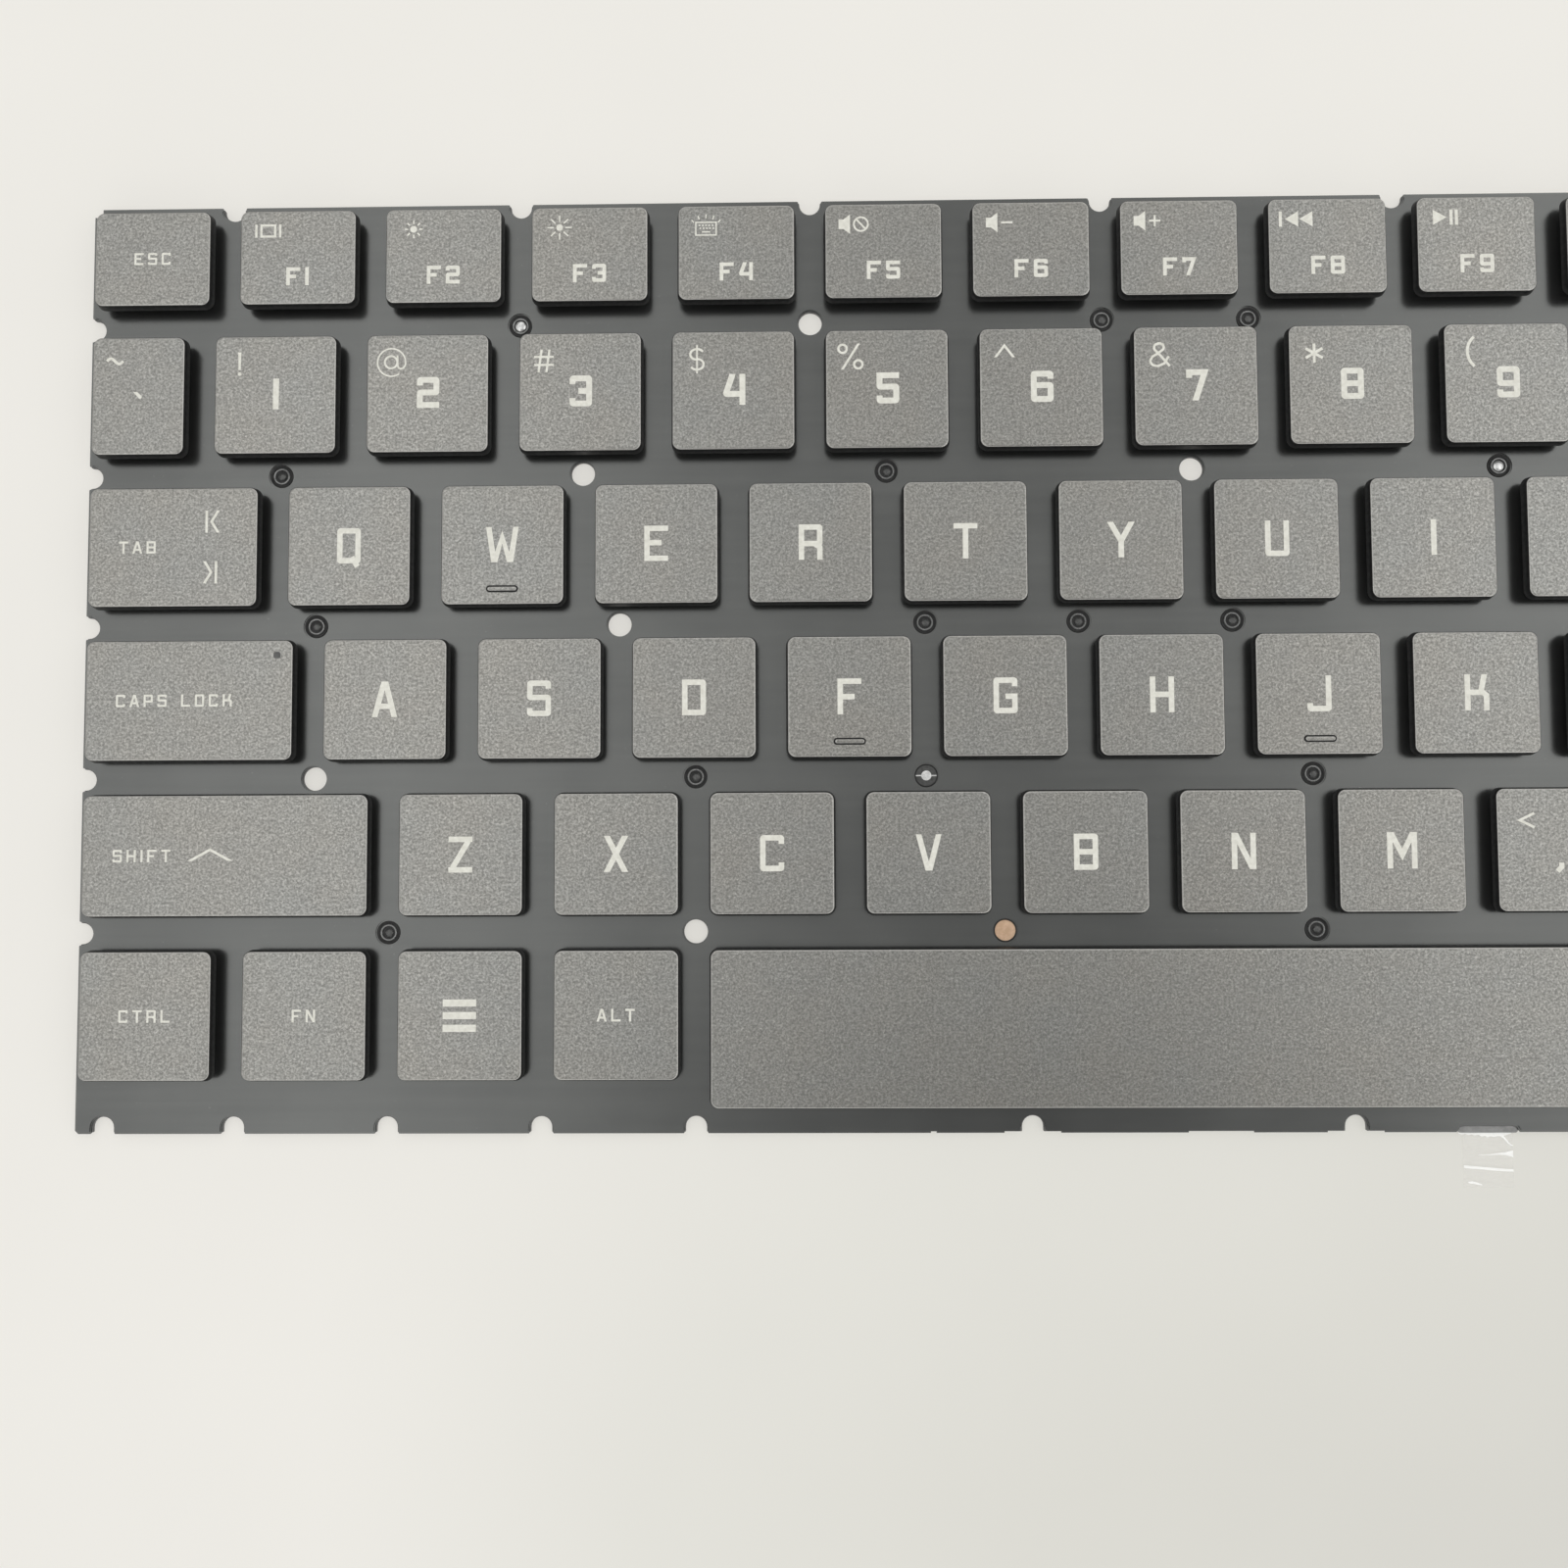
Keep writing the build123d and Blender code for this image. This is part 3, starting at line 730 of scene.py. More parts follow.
def shift_mark(legend, mark):
    """The small mark over a digit."""
    if mark == "~":
        turns = [i / WAVE_STEPS for i in range(WAVE_STEPS + 1)]
        wave = [(-1.3 + 2.0 * turn, 0.5 + 0.34 * math.sin(2 * math.pi * turn)) for turn in turns]
        legend.line(wave, 0.34)
    if mark == "!":
        legend.fill([(-0.2, 1.45), (-0.13, -0.75), (0.13, -0.75), (0.2, 1.45)])
        legend.disc(0, -1.25, 0.22)
    if mark == "@":
        legend.line(arc(0, 0, 1.72, -14, 304, 40), 0.19)
        legend.ring(-0.06, 0.02, 0.76, 0.24)
        tail = [(0.72, 0.86), (0.74, -0.38), (0.88, -0.7), (1.14, -0.8), (1.42, -0.7), (1.67, -0.42)]
        legend.line(tail, 0.22)
    if mark == "#":
        for x in (-0.48, 0.48):
            legend.line([(x - 0.18, -1.4), (x + 0.18, 1.4)], THIN, cuts=(0, 0))
        for y in (-0.5, 0.5):
            legend.line([(-1.2, y), (1.2, y)], THIN)
    if mark == "$":
        upper = arc(0, 0.62, 0.82, 30, 262, 18, 0.8)
        lower = arc(0, -0.62, 0.82, 82, -150, 18, 0.8)
        legend.line(upper + lower, THIN)
        legend.line([(0, -1.75), (0, 1.75)], 0.2)
    if mark == "%":
        legend.ring(-0.95, 1.12, 0.51, 0.28)
        legend.ring(0.95, -0.82, 0.51, 0.28)
        legend.line([(-1.0, -1.45), (1.0, 1.75)], 0.28, cuts=(0, 0))
    if mark == "^":
        legend.line([(-1.1, -0.12), (0, 1.33), (1.1, -0.12)], 0.29, cuts=(0, 0))
    if mark == "&":
        points = [
            (1.28, -1.42), (0.1, -0.02), (-0.62, 0.72), (-0.5, 1.22), (0.05, 1.42), (0.56, 1.2), (0.6, 0.72),
            (0.1, 0.32), (-0.8, -0.25), (-1.12, -0.8), (-0.8, -1.28), (-0.15, -1.42), (0.6, -1.1),
            (1.18, -0.2),
        ]
        for part in (points[:6], points[4:]):
            legend.line(eased([Vector(p) for p in part], 0.4), 0.29)
    if mark == "*":
        legend.rays(0.02, 1.18, 6, 0.33, first=math.pi / 2)
    if mark in "()":
        facing = 1 if mark == "(" else -1
        bow = [(facing * x, y) for x, y in arc(2.05, 0, 2.35, 130, 230, 18)]
        legend.line(bow, 0.35)
    if mark == "_":
        legend.line([(-1.1, -0.6), (1.1, -0.6)], THIN)
    if mark == "+":
        legend.line([(-1.0, 0), (1.0, 0)], THIN)
        legend.line([(0, -1.0), (0, 1.0)], THIN)


def pictogram(legend, name):
    """The small sign on a function key."""
    speaker = [(-1.75, -0.6), (-1.16, -0.6), (-0.35, -1.22), (-0.35, 1.22), (-1.16, 0.6), (-1.75, 0.6)]
    if name == "f1":
        legend.line([(-0.85, -0.7), (-0.85, 0.7), (0.85, 0.7), (0.85, -0.7)], 0.27, closed=True)
        for x in (-1.48, 1.48):
            legend.line([(x, -0.82), (x, 0.82)], 0.27)
    if name in ("f2", "f3"):
        reach = 1.1 if name == "f2" else 1.5
        legend.disc(0, 0, 0.42)
        legend.rays(0.62 * reach if name == "f2" else 0.72, reach, 8, 0.17)
    if name == "f4":
        legend.line([(-1.25, -1.15), (-1.25, 0.45), (1.25, 0.45), (1.25, -1.15)], 0.17, closed=True)
        for y in (0.08, -0.3):
            for i in range(5):
                x = -0.8 + 0.4 * i + (0.1 if y < 0 else 0)
                legend.fill([(x + a, y + b) for a, b in DOT])
        legend.line([(-0.5, -0.75), (0.5, -0.75)], 0.17)
        for angle in (40, 65, 90, 115, 140):
            c, s = math.cos(math.radians(angle)), math.sin(math.radians(angle))
            legend.line([(1.95 * c, -0.5 + 1.45 * s), (2.3 * c, -0.5 + 1.95 * s)], 0.15)
    if name in ("f5", "f6", "f7"):
        legend.fill(speaker)
    if name == "f5":
        legend.ring(0.98, 0, 0.86, 0.22)
        legend.line([(0.42, 0.6), (1.54, -0.6)], 0.22)
    if name in ("f6", "f7"):
        legend.line([(0.1, 0), (1.5, 0)], 0.24)
    if name == "f7":
        legend.line([(0.8, -0.7), (0.8, 0.7)], 0.24)
    if name in ("f8", "f10"):
        facing = 1 if name == "f8" else -1
        legend.line([(facing * -1.95, -0.95), (facing * -1.95, 0.95)], 0.36)
        for x in (-1.4, 0.35):
            tip = [(facing * x, 0), (facing * (x + 1.6), 0.95), (facing * (x + 1.6), -0.95)]
            legend.fill(tip)
    if name == "f9":
        legend.fill([(-1.5, -0.95), (0.15, 0), (-1.5, 0.95)])
        for x in (0.7, 1.34):
            legend.line([(x, -0.95), (x, 0.95)], 0.38)


WORDS = {
    "esc": "ESC", "left_ctrl": "CTRL", "fn": "FN", "left_alt": "ALT", "right_alt": "ALT", "insert": "INS",
    "delete": "DEL", "backspace": "BACK", "enter": "ENTER",
}
SHIFT_MARKS = dict(zip(ROWS[NUMBER_ROW][:13], "~!@#$%^&*()_+"))
SIGNS = {
    "minus": "-", "equals": "=", "left_bracket": "[", "right_bracket": "]", "backslash": "\\",
    "semicolon": ";", "quote": "'", "slash": "/",
}
ARROWS = {"arrow_left": 180, "arrow_up": 90, "arrow_down": 270, "arrow_right": 0}
MARK_FROM_LEFT = 3.05
MARK_ABOVE = 3.85
PICTOGRAM_AT = (-3.7, 3.35)
F_TEXT_BELOW = -2.38
DIGIT_AT = (0.1, 0.08)
TAB_ARROWS_X = 4.72


def add_legend(shape, name):
    """What is lettered on one key."""
    rect = keys[name]
    legend = Legend(shape, rect)
    if name in WORDS:
        legend.text(WORDS[name], **WORD)
    if name in ROWS[F_ROW][1:13]:
        legend.text(name.upper(), y=F_TEXT_BELOW, **F_TEXT)
        legend.move(*PICTOGRAM_AT)
        pictogram(legend, name)
    if len(name) == 1:
        at = DIGIT_AT if name.isdigit() else (0, 0)
        legend.text(name.upper(), *at, **(DIGIT if name.isdigit() else LETTER))
    if name in SIGNS:
        legend.text(SIGNS[name], **LETTER | dict(stroke=0.55, height=3.4, width=2.4))
    if name in SHIFT_MARKS:
        legend.move(MARK_FROM_LEFT - rect.width / 2, MARK_ABOVE)
        shift_mark(legend, SHIFT_MARKS[name])
        legend.move(0, 0)
    if name == "grave":
        legend.fill([(-0.6, 0.48), (-0.12, 0.5), (0.46, -0.04), (0.42, -0.32), (0.14, -0.34)])
    if name in ("comma", "period"):
        upper, lower = "<," if name == "comma" else ">."
        legend.text(upper, x=-3.9, y=3.6, **LETTER | dict(stroke=0.3, height=2.4, width=2.2))
        legend.text(lower, y=-0.6, **LETTER | dict(stroke=0.6, height=3.4))
    if name == "tab":
        legend.text("TAB", x=-4.35, **WORD)
        for facing, y in ((1, 3.12), (-1, -3.12)):
            legend.move(TAB_ARROWS_X, y)
            legend.line([(facing * -0.62, -1.36), (facing * -0.62, 1.36)], 0.3)
            tip = [(facing * 0.8, -1.36), (facing * -0.02, 0), (facing * 0.8, 1.36)]
            legend.line(tip, 0.3, cuts=(0, 0))
    if name in ("caps_lock", "left_shift", "right_shift"):
        left = 3.75 - rect.width / 2
        legend.text("CAPS LOCK" if name == "caps_lock" else "SHIFT", left=left, **WORD)
        if name != "caps_lock":
            start = 13.1 - rect.width / 2
            legend.line([(start, -0.62), (start + 2.45, 0.72), (start + 4.9, -0.62)], 0.3, cuts=(0, 0))
    if name == "start":
        for y in (-1.5, 0, 1.5):
            legend.line([(-2.0, y), (2.0, y)], 0.85)
    if name in ARROWS:
        angle = math.radians(ARROWS[name])
        c, s = math.cos(angle), math.sin(angle)
        legend.fill([(a * c - b * s, a * s + b * c) for a, b in ((0.9, 0), (-0.7, 1.1), (-0.7, -1.1))])


# Lifts: a pair of crossing links and a dome under each key
lift_height = ROOF_Z - DECK_Z - 2 * END_CLEARANCE
lift_middle = (ROOF_Z + DECK_Z) / 2


def tilt_for(length, thickness):
    return math.asin(lift_height / math.hypot(length, thickness)) - math.atan2(thickness, length)


def bow_outline(width, length):
    """A bow with two legs at the front and a rounded bar at the back."""
    w, l, b = width / 2, length / 2, LINK_BAR
    legs = [
        (-w, -l), (-w + b * LINK_FOOT, -l), (-w + b, -l + LINK_EASE), (-w + b, l - b - LINK_EASE),
        (-w + b + LINK_EASE, l - b),
    ]
    back = arc(w - b, l - b, b, 0, 90, 6)
    return legs + mirrored(legs) + back + mirrored(back)


def link_size(rect):
    """The width and length of the outer link that fits inside a cap."""
    room = 2 * CAP_WALL + 2 * SIDE_CLEARANCE
    return min(LINK_SIZE, rect.width - room), min(LINK_SIZE, rect.depth - room)


def add_scissor(shape, name):
    """The outer and inner link of one key, with their pivots."""
    rect = keys[name]
    width, length = link_size(rect)
    inner = width - 2 * LINK_BAR - 2 * SIDE_CLEARANCE
    half = LINK_THICKNESS / 2
    for bow_width, facing in ((width, 1), (inner, -1)):
        bow = Shape()
        prism(bow, bow_outline(bow_width, length), -half, half)
        turn = Matrix.Rotation(facing * tilt_for(length, LINK_THICKNESS), 4, "X")
        shape.add_shape(bow, Matrix.Translation((rect.x, rect.y, lift_middle)) @ turn)
    for side in (-1, 1):
        ends = inner / 2 - LINK_BAR + PIVOT_OVERLAP, width / 2 - PIVOT_OVERLAP
        ring = circle(0, 0, half * PIVOT_SHARE, PIVOT_SIDES)
        loft(shape, [[(rect.x + side * x, rect.y + a, lift_middle + b) for a, b in ring] for x in ends])


def add_dome(shape, name):
    """A rubber bell with a flange at its foot and a flat crown."""
    rect = keys[name]
    foot = min(DOME_FOOT, link_size(rect)[1] / 2 - LINK_BAR - SIDE_CLEARANCE)
    height = ROOF_Z - DECK_Z - END_CLEARANCE
    stack(shape, rect.x, rect.y, [(foot * r, DECK_Z + height * z) for r, z in DOME_PROFILE], DOME_SIDES)


def tube(shape, points, radius):
    """A round wire along a path."""
    points = [Vector(p) for p in points]
    rings = []
    for i, point in enumerate(points):
        into = (point - points[i - 1]).normalized() if i else None
        out = (points[i + 1] - point).normalized() if i < len(points) - 1 else None
        along = ((into or out) + (out or into)).normalized()
        across = along.orthogonal() if not rings else side - along * side.dot(along)
        side = across.normalized()
        other = along.cross(side)
        rings.append([point + radius * (side * a + other * b) for a, b in circle(0, 0, 1, BAR_SIDES)])
    loft(shape, rings)


def add_bar(shape, name):
    """The wire bow that keeps a wide key level."""
    rect = keys[name]
    radius = BAR_DIAMETER / 2
    half = rect.width / 2 - CAP_WALL - BAR_WALL_CLEARANCE - radius
    back = rect.y1 - CAP_WALL - BAR_WALL_CLEARANCE - radius
    tilt = tilt_for(BAR_REACH, BAR_DIAMETER)
    reach = BAR_REACH - BAR_DIAMETER
    front = back - reach * math.cos(tilt)
    top, low = lift_middle + reach / 2 * math.sin(tilt), lift_middle - reach / 2 * math.sin(tilt)
    share = BAR_TURN / reach
    path = []
    for side in (-1, 1):
        x = rect.x + side * half
        eased_by = BAR_TURN_SHARE * BAR_TURN
        leg = [
            (x, front, low), (x, back - BAR_TURN * math.cos(tilt), top - (top - low) * share),
            (x - side * eased_by, back - eased_by, top - (top - low) * share * BAR_TURN_SHARE),
            (x - side * BAR_TURN, back, top),
        ]
        path += leg if side < 0 else leg[::-1]
    tube(shape, path, radius)


# Materials
NOISE_LOW, NOISE_HIGH = 0.3, 0.7
MOTTLE_LOW, MOTTLE_HIGH = 0.35, 0.65
ROUGH_SPREAD = 0.08
BUMP_DEPTH = 0.03


def add_node(tree, kind, inputs=None, **settings):
    """A node whose inputs are set to values or linked to sockets."""
    node = tree.nodes.new(kind)
    for key, value in settings.items():
        setattr(node, key, value)
    for key, value in (inputs or {}).items():
        if isinstance(value, bpy.types.NodeSocket):
            tree.links.new(value, node.inputs[key])
        else:
            node.inputs[key].default_value = value
    return node


def solid(value):
    """A colour with its alpha; a socket as it is."""
    return (*value, 1) if isinstance(value, tuple) else value


def set_stops(node, stops):
    """The places of a colour ramp and the colour or grey at each."""
    elements = node.color_ramp.elements
    while len(elements) < len(stops):
        elements.new(0.5)
    for element, (place, colour) in zip(elements, stops):
        element.position = place
        element.color = solid(colour if isinstance(colour, tuple) else (colour,) * 3)


class Look:
    """A material with its shader, and short ways to add nodes."""

    def __init__(self, name, rough=0.5, specular=0.5, metallic=0.0):
        self.material = bpy.data.materials.new(name)
        self.material.use_nodes = True
        self.tree = self.material.node_tree
        self.shader = self.tree.nodes["Principled BSDF"]
        self.shader.inputs["Roughness"].default_value = rough
        self.shader.inputs["Specular IOR Level"].default_value = specular
        self.shader.inputs["Metallic"].default_value = metallic
        self.place = self.tree.nodes.new("ShaderNodeTexCoord").outputs["Object"]

    def node(self, kind, inputs=None, **settings):
        return add_node(self.tree, kind, inputs, **settings)

    def noise(self, size_mm, detail, rough, stretch=None):
        """Noise whose features are about so many mm across."""
        place = self.place
        if stretch:
            place = self.node("ShaderNodeMapping", {"Vector": place, "Scale": stretch}).outputs["Vector"]
        inputs = {"Vector": place, "Scale": 1 / (size_mm * MM), "Detail": detail, "Roughness": rough}
        return self.node("ShaderNodeTexNoise", inputs).outputs["Fac"]

    def ramp(self, value, stops):
        """Colours or greys at places along a value."""
        node = self.node("ShaderNodeValToRGB", {"Fac": value})
        set_stops(node, stops)
        return node.outputs["Color"]

    def mix(self, share, a, b, kind="MIX"):
        inputs = {0: share, 6: solid(a), 7: solid(b)}
        return self.node("ShaderNodeMix", inputs, data_type="RGBA", blend_type=kind).outputs[2]

    def math(self, operation, a, b, clamp=False):
        return self.node("ShaderNodeMath", {0: a, 1: b}, operation=operation, use_clamp=clamp).outputs[0]

    def times(self, a, b):
        return self.math("MULTIPLY", a, b)

    def span(self, value, low, high, to_low=0.0, to_high=1.0):
        inputs = {"Value": value, "From Min": low, "From Max": high, "To Min": to_low, "To Max": to_high}
        return self.node("ShaderNodeMapRange", inputs).outputs["Result"]

    def up(self):
        """How far a surface faces up."""
        normal = self.node("ShaderNodeNewGeometry").outputs["Normal"]
        return self.node("ShaderNodeSeparateXYZ", {"Vector": normal}).outputs["Z"]

    def use(self, socket, value):
        self.tree.links.new(value, self.shader.inputs[socket])

    def vary(self, socket, noise, first, last):
        """A socket that goes from one value to another with a noise."""
        self.use(socket, self.span(noise, NOISE_LOW, NOISE_HIGH, first, last))

    def bump(self, height, strength, depth_mm):
        inputs = {"Height": height, "Strength": strength, "Distance": depth_mm * MM}
        self.use("Normal", self.node("ShaderNodeBump", inputs).outputs["Normal"])


def key_look():
    look = Look("key_paint", specular=0.5, metallic=0.75)
    grain = look.noise(0.29, 3, 0.62)
    fleck = look.noise(0.18, 1, 0.5)
    drift = look.noise(9, 2, 0.5)
    grey = look.ramp(grain, [
        (0.34, (0.176, 0.173, 0.166)), (0.5, (0.258, 0.254, 0.243)), (0.66, (0.368, 0.362, 0.347)),
    ])
    bright = look.span(fleck, 0.62, 0.74)
    grey = look.mix(look.times(bright, 0.45), grey, (0.62, 0.61, 0.585))
    tint = look.ramp(drift, [(0.3, (0.985, 0.995, 0.99)), (0.7, (1.012, 1.0, 0.972))])
    grey = look.mix(1.0, grey, tint, "MULTIPLY")
    up = look.up()
    # Painted highlight: faces of the rounded top edge, between level and steep, are mixed towards a paler
    # grey, as light caught along the edge
    rim = look.times(look.span(up, 0.55, 0.8), look.span(up, 0.9, 0.995, 1.0, 0.0))
    look.use("Base Color", look.mix(look.times(rim, 0.55), grey, (0.5, 0.49, 0.47)))
    look.vary("Roughness", grain, 0.34, 0.26)
    look.bump(look.math("ADD", grain, look.times(fleck, 0.5)), 0.2, 0.02)
    return look.material


def wall_look():
    """Dark plastic, a little paler towards the foot of a cap: that paler foot is painted shade, standing for
    the soft shadow on the deck beside the key.
    """
    look = Look("key_wall", specular=0.25)
    mottle = look.noise(0.5, 3, 0.6)
    # Painted shade: the wall pales from black towards its foot, to the tone of the soft shadow beside the key
    height = look.node("ShaderNodeSeparateXYZ", {"Vector": look.place}).outputs["Z"]
    foot = look.span(height, (SKIRT_Z + WALL_SHADE_FADE) * MM, SKIRT_Z * MM)
    dark = look.ramp(mottle, [(MOTTLE_LOW, 0.008), (MOTTLE_HIGH, 0.016)])
    look.use("Base Color", look.mix(foot, dark, (0.05, 0.051, 0.05)))
    look.vary("Roughness", mottle, 0.63, 0.47)
    look.bump(mottle, 0.1, BUMP_DEPTH)
    return look.material


def legend_look():
    look = Look("legend_ink", rough=0.5, specular=0.3)
    mottle = look.noise(0.5, 3, 0.6)
    look.use("Base Color", look.ramp(mottle, [(0.3, (0.62, 0.61, 0.55)), (0.7, (0.76, 0.75, 0.69))]))
    look.bump(mottle, 0.15, 0.01)
    return look.material


def deck_look(name, dark, light):
    look = Look(name, specular=0.5, metallic=0.88)
    drift = look.noise(14, 3, 0.55)
    brush = look.noise(1.2, 2, 0.6, stretch=(0.04, 1.0, 1.0))
    tone = look.math("ADD", look.times(drift, 0.6), look.times(brush, 0.4))
    dust = look.span(look.noise(0.28, 1, 0.4), 0.76, 0.84)
    colour = look.ramp(tone, [(MOTTLE_LOW, dark), (MOTTLE_HIGH, light)])
    edge = look.span(look.up(), 0.2, 0.7, 1.0, 0.0)
    colour = look.mix(edge, colour, (0.035, 0.036, 0.037))
    look.use("Base Color", look.mix(look.times(dust, 0.25), colour, (0.4, 0.4, 0.38)))
    look.vary("Roughness", tone, 0.2, 0.25)
    look.bump(look.noise(2.5, 2, 0.5), 0.06, 0.05)
    return look.material


def plain_look(name, dark, light, size_mm, rough, specular=0.5, metallic=0.0, bump=0.1, stretch=None):
    """A material mottled between two colours, with a fine bump."""
    look = Look(name, specular=specular, metallic=metallic)
    mottle = look.noise(size_mm, 3, 0.6, stretch=stretch)
    look.use("Base Color", look.ramp(mottle, [(MOTTLE_LOW, dark), (MOTTLE_HIGH, light)]))
    look.vary("Roughness", mottle, rough + ROUGH_SPREAD, rough - ROUGH_SPREAD)
    look.bump(mottle, bump, BUMP_DEPTH)
    return look.material


def film_look():
    look = Look("backlight_film", specular=0.5)
    inputs = {"Vector": look.place, "Scale": 1 / (1.1 * MM), "Randomness": 0.35}
    cells = look.node("ShaderNodeTexVoronoi", inputs)
    dots = look.span(cells.outputs["Distance"], 0.18, 0.26)
    drift = look.noise(12, 2, 0.5)
    white = look.ramp(drift, [(0.3, (0.66, 0.66, 0.63)), (0.7, (0.76, 0.76, 0.73))])
    look.use("Base Color", look.mix(dots, (0.56, 0.56, 0.54), white))
    look.vary("Roughness", drift, 0.38, 0.5)
    look.bump(dots, 0.2, 0.02)
    return look.material


def tape_look():
    look = Look("clear_tape", rough=0.12, specular=0.6)
    crease = look.noise(1.6, 3, 0.6, stretch=(0.35, 1.6, 1.0))
    look.use("Base Color", look.ramp(crease, [(0.3, (0.74, 0.72, 0.7)), (0.7, (0.82, 0.8, 0.78))]))
    look.vary("Alpha", crease, 0.03, 0.1)
    look.bump(crease, 0.2, 0.1)
    return look.material


KEY_PAINT = key_look()
KEY_WALL = wall_look()
LEGEND_INK = legend_look()
DECK = deck_look("membrane_film", (0.117, 0.12, 0.118), (0.138, 0.141, 0.138))
CARRIER = deck_look("membrane_carrier", (0.124, 0.127, 0.124), (0.15, 0.153, 0.149))
PLATE = plain_look("coated_plate", (0.1, 0.1, 0.1), (0.15, 0.15, 0.148), 0.8, 0.45, 0.5, 0.3)
FILM = film_look()
TAPE = tape_look()
LINK = plain_look("link_plastic", (0.018, 0.018, 0.019), (0.03, 0.03, 0.031), 0.6, 0.45)
RUBBER = plain_look("dome_silicone", (0.42, 0.42, 0.4), (0.5, 0.5, 0.48), 0.9, 0.5, 0.4)
STEEL = plain_look("bar_steel", (0.42, 0.42, 0.43), (0.6, 0.6, 0.6), 0.4, 0.3, 0.5, 1.0, stretch=(0.05, 1, 1))
# Near-black wells round the rivets: partly black coating, partly painted shade of the gap
WELL = plain_look("rivet_well", (0.006, 0.006, 0.006), (0.014, 0.014, 0.014), 0.4, 0.5)
COLLAR = plain_look("rivet_collar", (0.16, 0.162, 0.16), (0.3, 0.302, 0.298), 0.35, 0.3, 0.6, 0.5, bump=0.3)
CORE = plain_look("rivet_core", (0.05, 0.051, 0.05), (0.1, 0.101, 0.099), 0.3, 0.3, 0.6, 0.3, bump=0.4)
DISC = plain_look("slit_disc", (0.045, 0.046, 0.045), (0.09, 0.091, 0.089), 0.5, 0.35, 0.6, 0.4, bump=0.3)
COPPER = plain_look("copper_pad", (0.6, 0.4, 0.26), (0.74, 0.52, 0.36), 0.7, 0.4, 0.5, 0.35)
SILVER = plain_look("rivet_head", (0.5, 0.5, 0.5), (0.85, 0.85, 0.84), 0.4, 0.25, 0.5, 0.6, bump=0.4)
CREASE = plain_look("tape_crease", (0.88, 0.88, 0.86), (0.97, 0.97, 0.95), 0.4, 0.3, 0.6)
LIP = plain_look("recess_lip", (0.2, 0.2, 0.198), (0.27, 0.27, 0.266), 0.8, 0.4)
WINDOW = plain_look("light_window", (0.06, 0.06, 0.06), (0.09, 0.09, 0.088), 0.4, 0.3)


def piece(name, form, body, look):
    """An object of a shape or a mesh that rides on a body."""
    made = put(name, form.mesh(name) if isinstance(form, Shape) else form)
    made.data.materials.append(look)
    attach(made, body)
    return made


# Sheets: the membrane is a film on a carrier, whose edge and holes show round the film's
FILM_THICKNESS = 0.14
FILM_INSET, FILM_BACK_OFF = 0.24, 0.13
FILM_HOLES_OVER = 0.17, 0.12
CARRIER_HOLES_OVER = 0.07, -0.02
CARRIER_TOP = DECK_Z - FILM_THICKNESS
PLATE_NARROWER, PLATE_SHALLOWER = 0.14, 0.1
open_radius = HOLE_DIAMETER / 2


def hole_loops(over_open, over_riveted):
    """Circles for the open and the riveted holes, larger than the plate's by so much."""
    loops = [circle(x, y, open_radius + over_open) for x, y in holes["open"]]
    return loops + [circle(x, y, open_radius + over_riveted) for x, y in riveted]


outline = sheet_outline(FILM_INSET, FILM_BACK_OFF, FILM_BACK_OFF, False)
film = sheet_mesh("membrane_film", outline, hole_loops(*FILM_HOLES_OVER), CARRIER_TOP, DECK_Z)
outline, loops = sheet_outline(0, 0, 0, True), hole_loops(*CARRIER_HOLES_OVER)
carrier = sheet_mesh("membrane_carrier", outline, loops, membrane_low[2], CARRIER_TOP)
outline = sheet_outline(plate_low[0] - LEFT, -PLATE_NARROWER, -PLATE_SHALLOWER, False)
plate_holes = [circle(x, y, open_radius) for x, y in holes["open"]]
plate = sheet_mesh("plate_sheet", outline, plate_holes, plate_low[2], plate_high[2])
for name, mesh, look, node, slot in (
    ("membrane_film", film, DECK, "switch_membrane", "membrane"),
    ("membrane_carrier", carrier, CARRIER, "switch_membrane", "membrane"),
    ("plate_sheet", plate, PLATE, "base_plate", "plate"),
):
    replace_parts(piece(name, mesh, "chassis", look), node)
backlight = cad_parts["backlight_sheet"]
backlight.data.materials.clear()
backlight.data.materials.append(FILM)

# Rivets in the closed holes, each kind as radii and heights. The near-black wells round them are partly a
# black coating and partly painted shade of the deep gap.
PLATE_TOP = plate_high[2]
WELL_RADIUS = open_radius - 0.03
WELL_STEPS = [
    (WELL_RADIUS, PLATE_TOP - 0.02), (WELL_RADIUS, DECK_Z - 0.02), (WELL_RADIUS - 0.12, DECK_Z - 0.01),
    (WELL_RADIUS - 0.2, PLATE_TOP + 0.03),
]
CORE_SIDES, BUTTON_SIDES, HEAD_SIDES, COLLAR_SIDES = 6, 20, 24, 28
COLLAR_RADIUS, COLLAR_BORE, COLLAR_EASE = 1.0, 0.8, 0.05
COLLAR_STEPS = [
    (COLLAR_BORE, PLATE_TOP + 0.02), (COLLAR_BORE, DECK_Z - 0.12), (COLLAR_BORE + COLLAR_EASE, DECK_Z - 0.07),
    (COLLAR_RADIUS - COLLAR_EASE, DECK_Z - 0.07), (COLLAR_RADIUS, DECK_Z - 0.12),
    (COLLAR_RADIUS, PLATE_TOP + 0.02),
]


def over_plate(*steps):
    return [(radius, PLATE_TOP + rise) for radius, rise in steps]


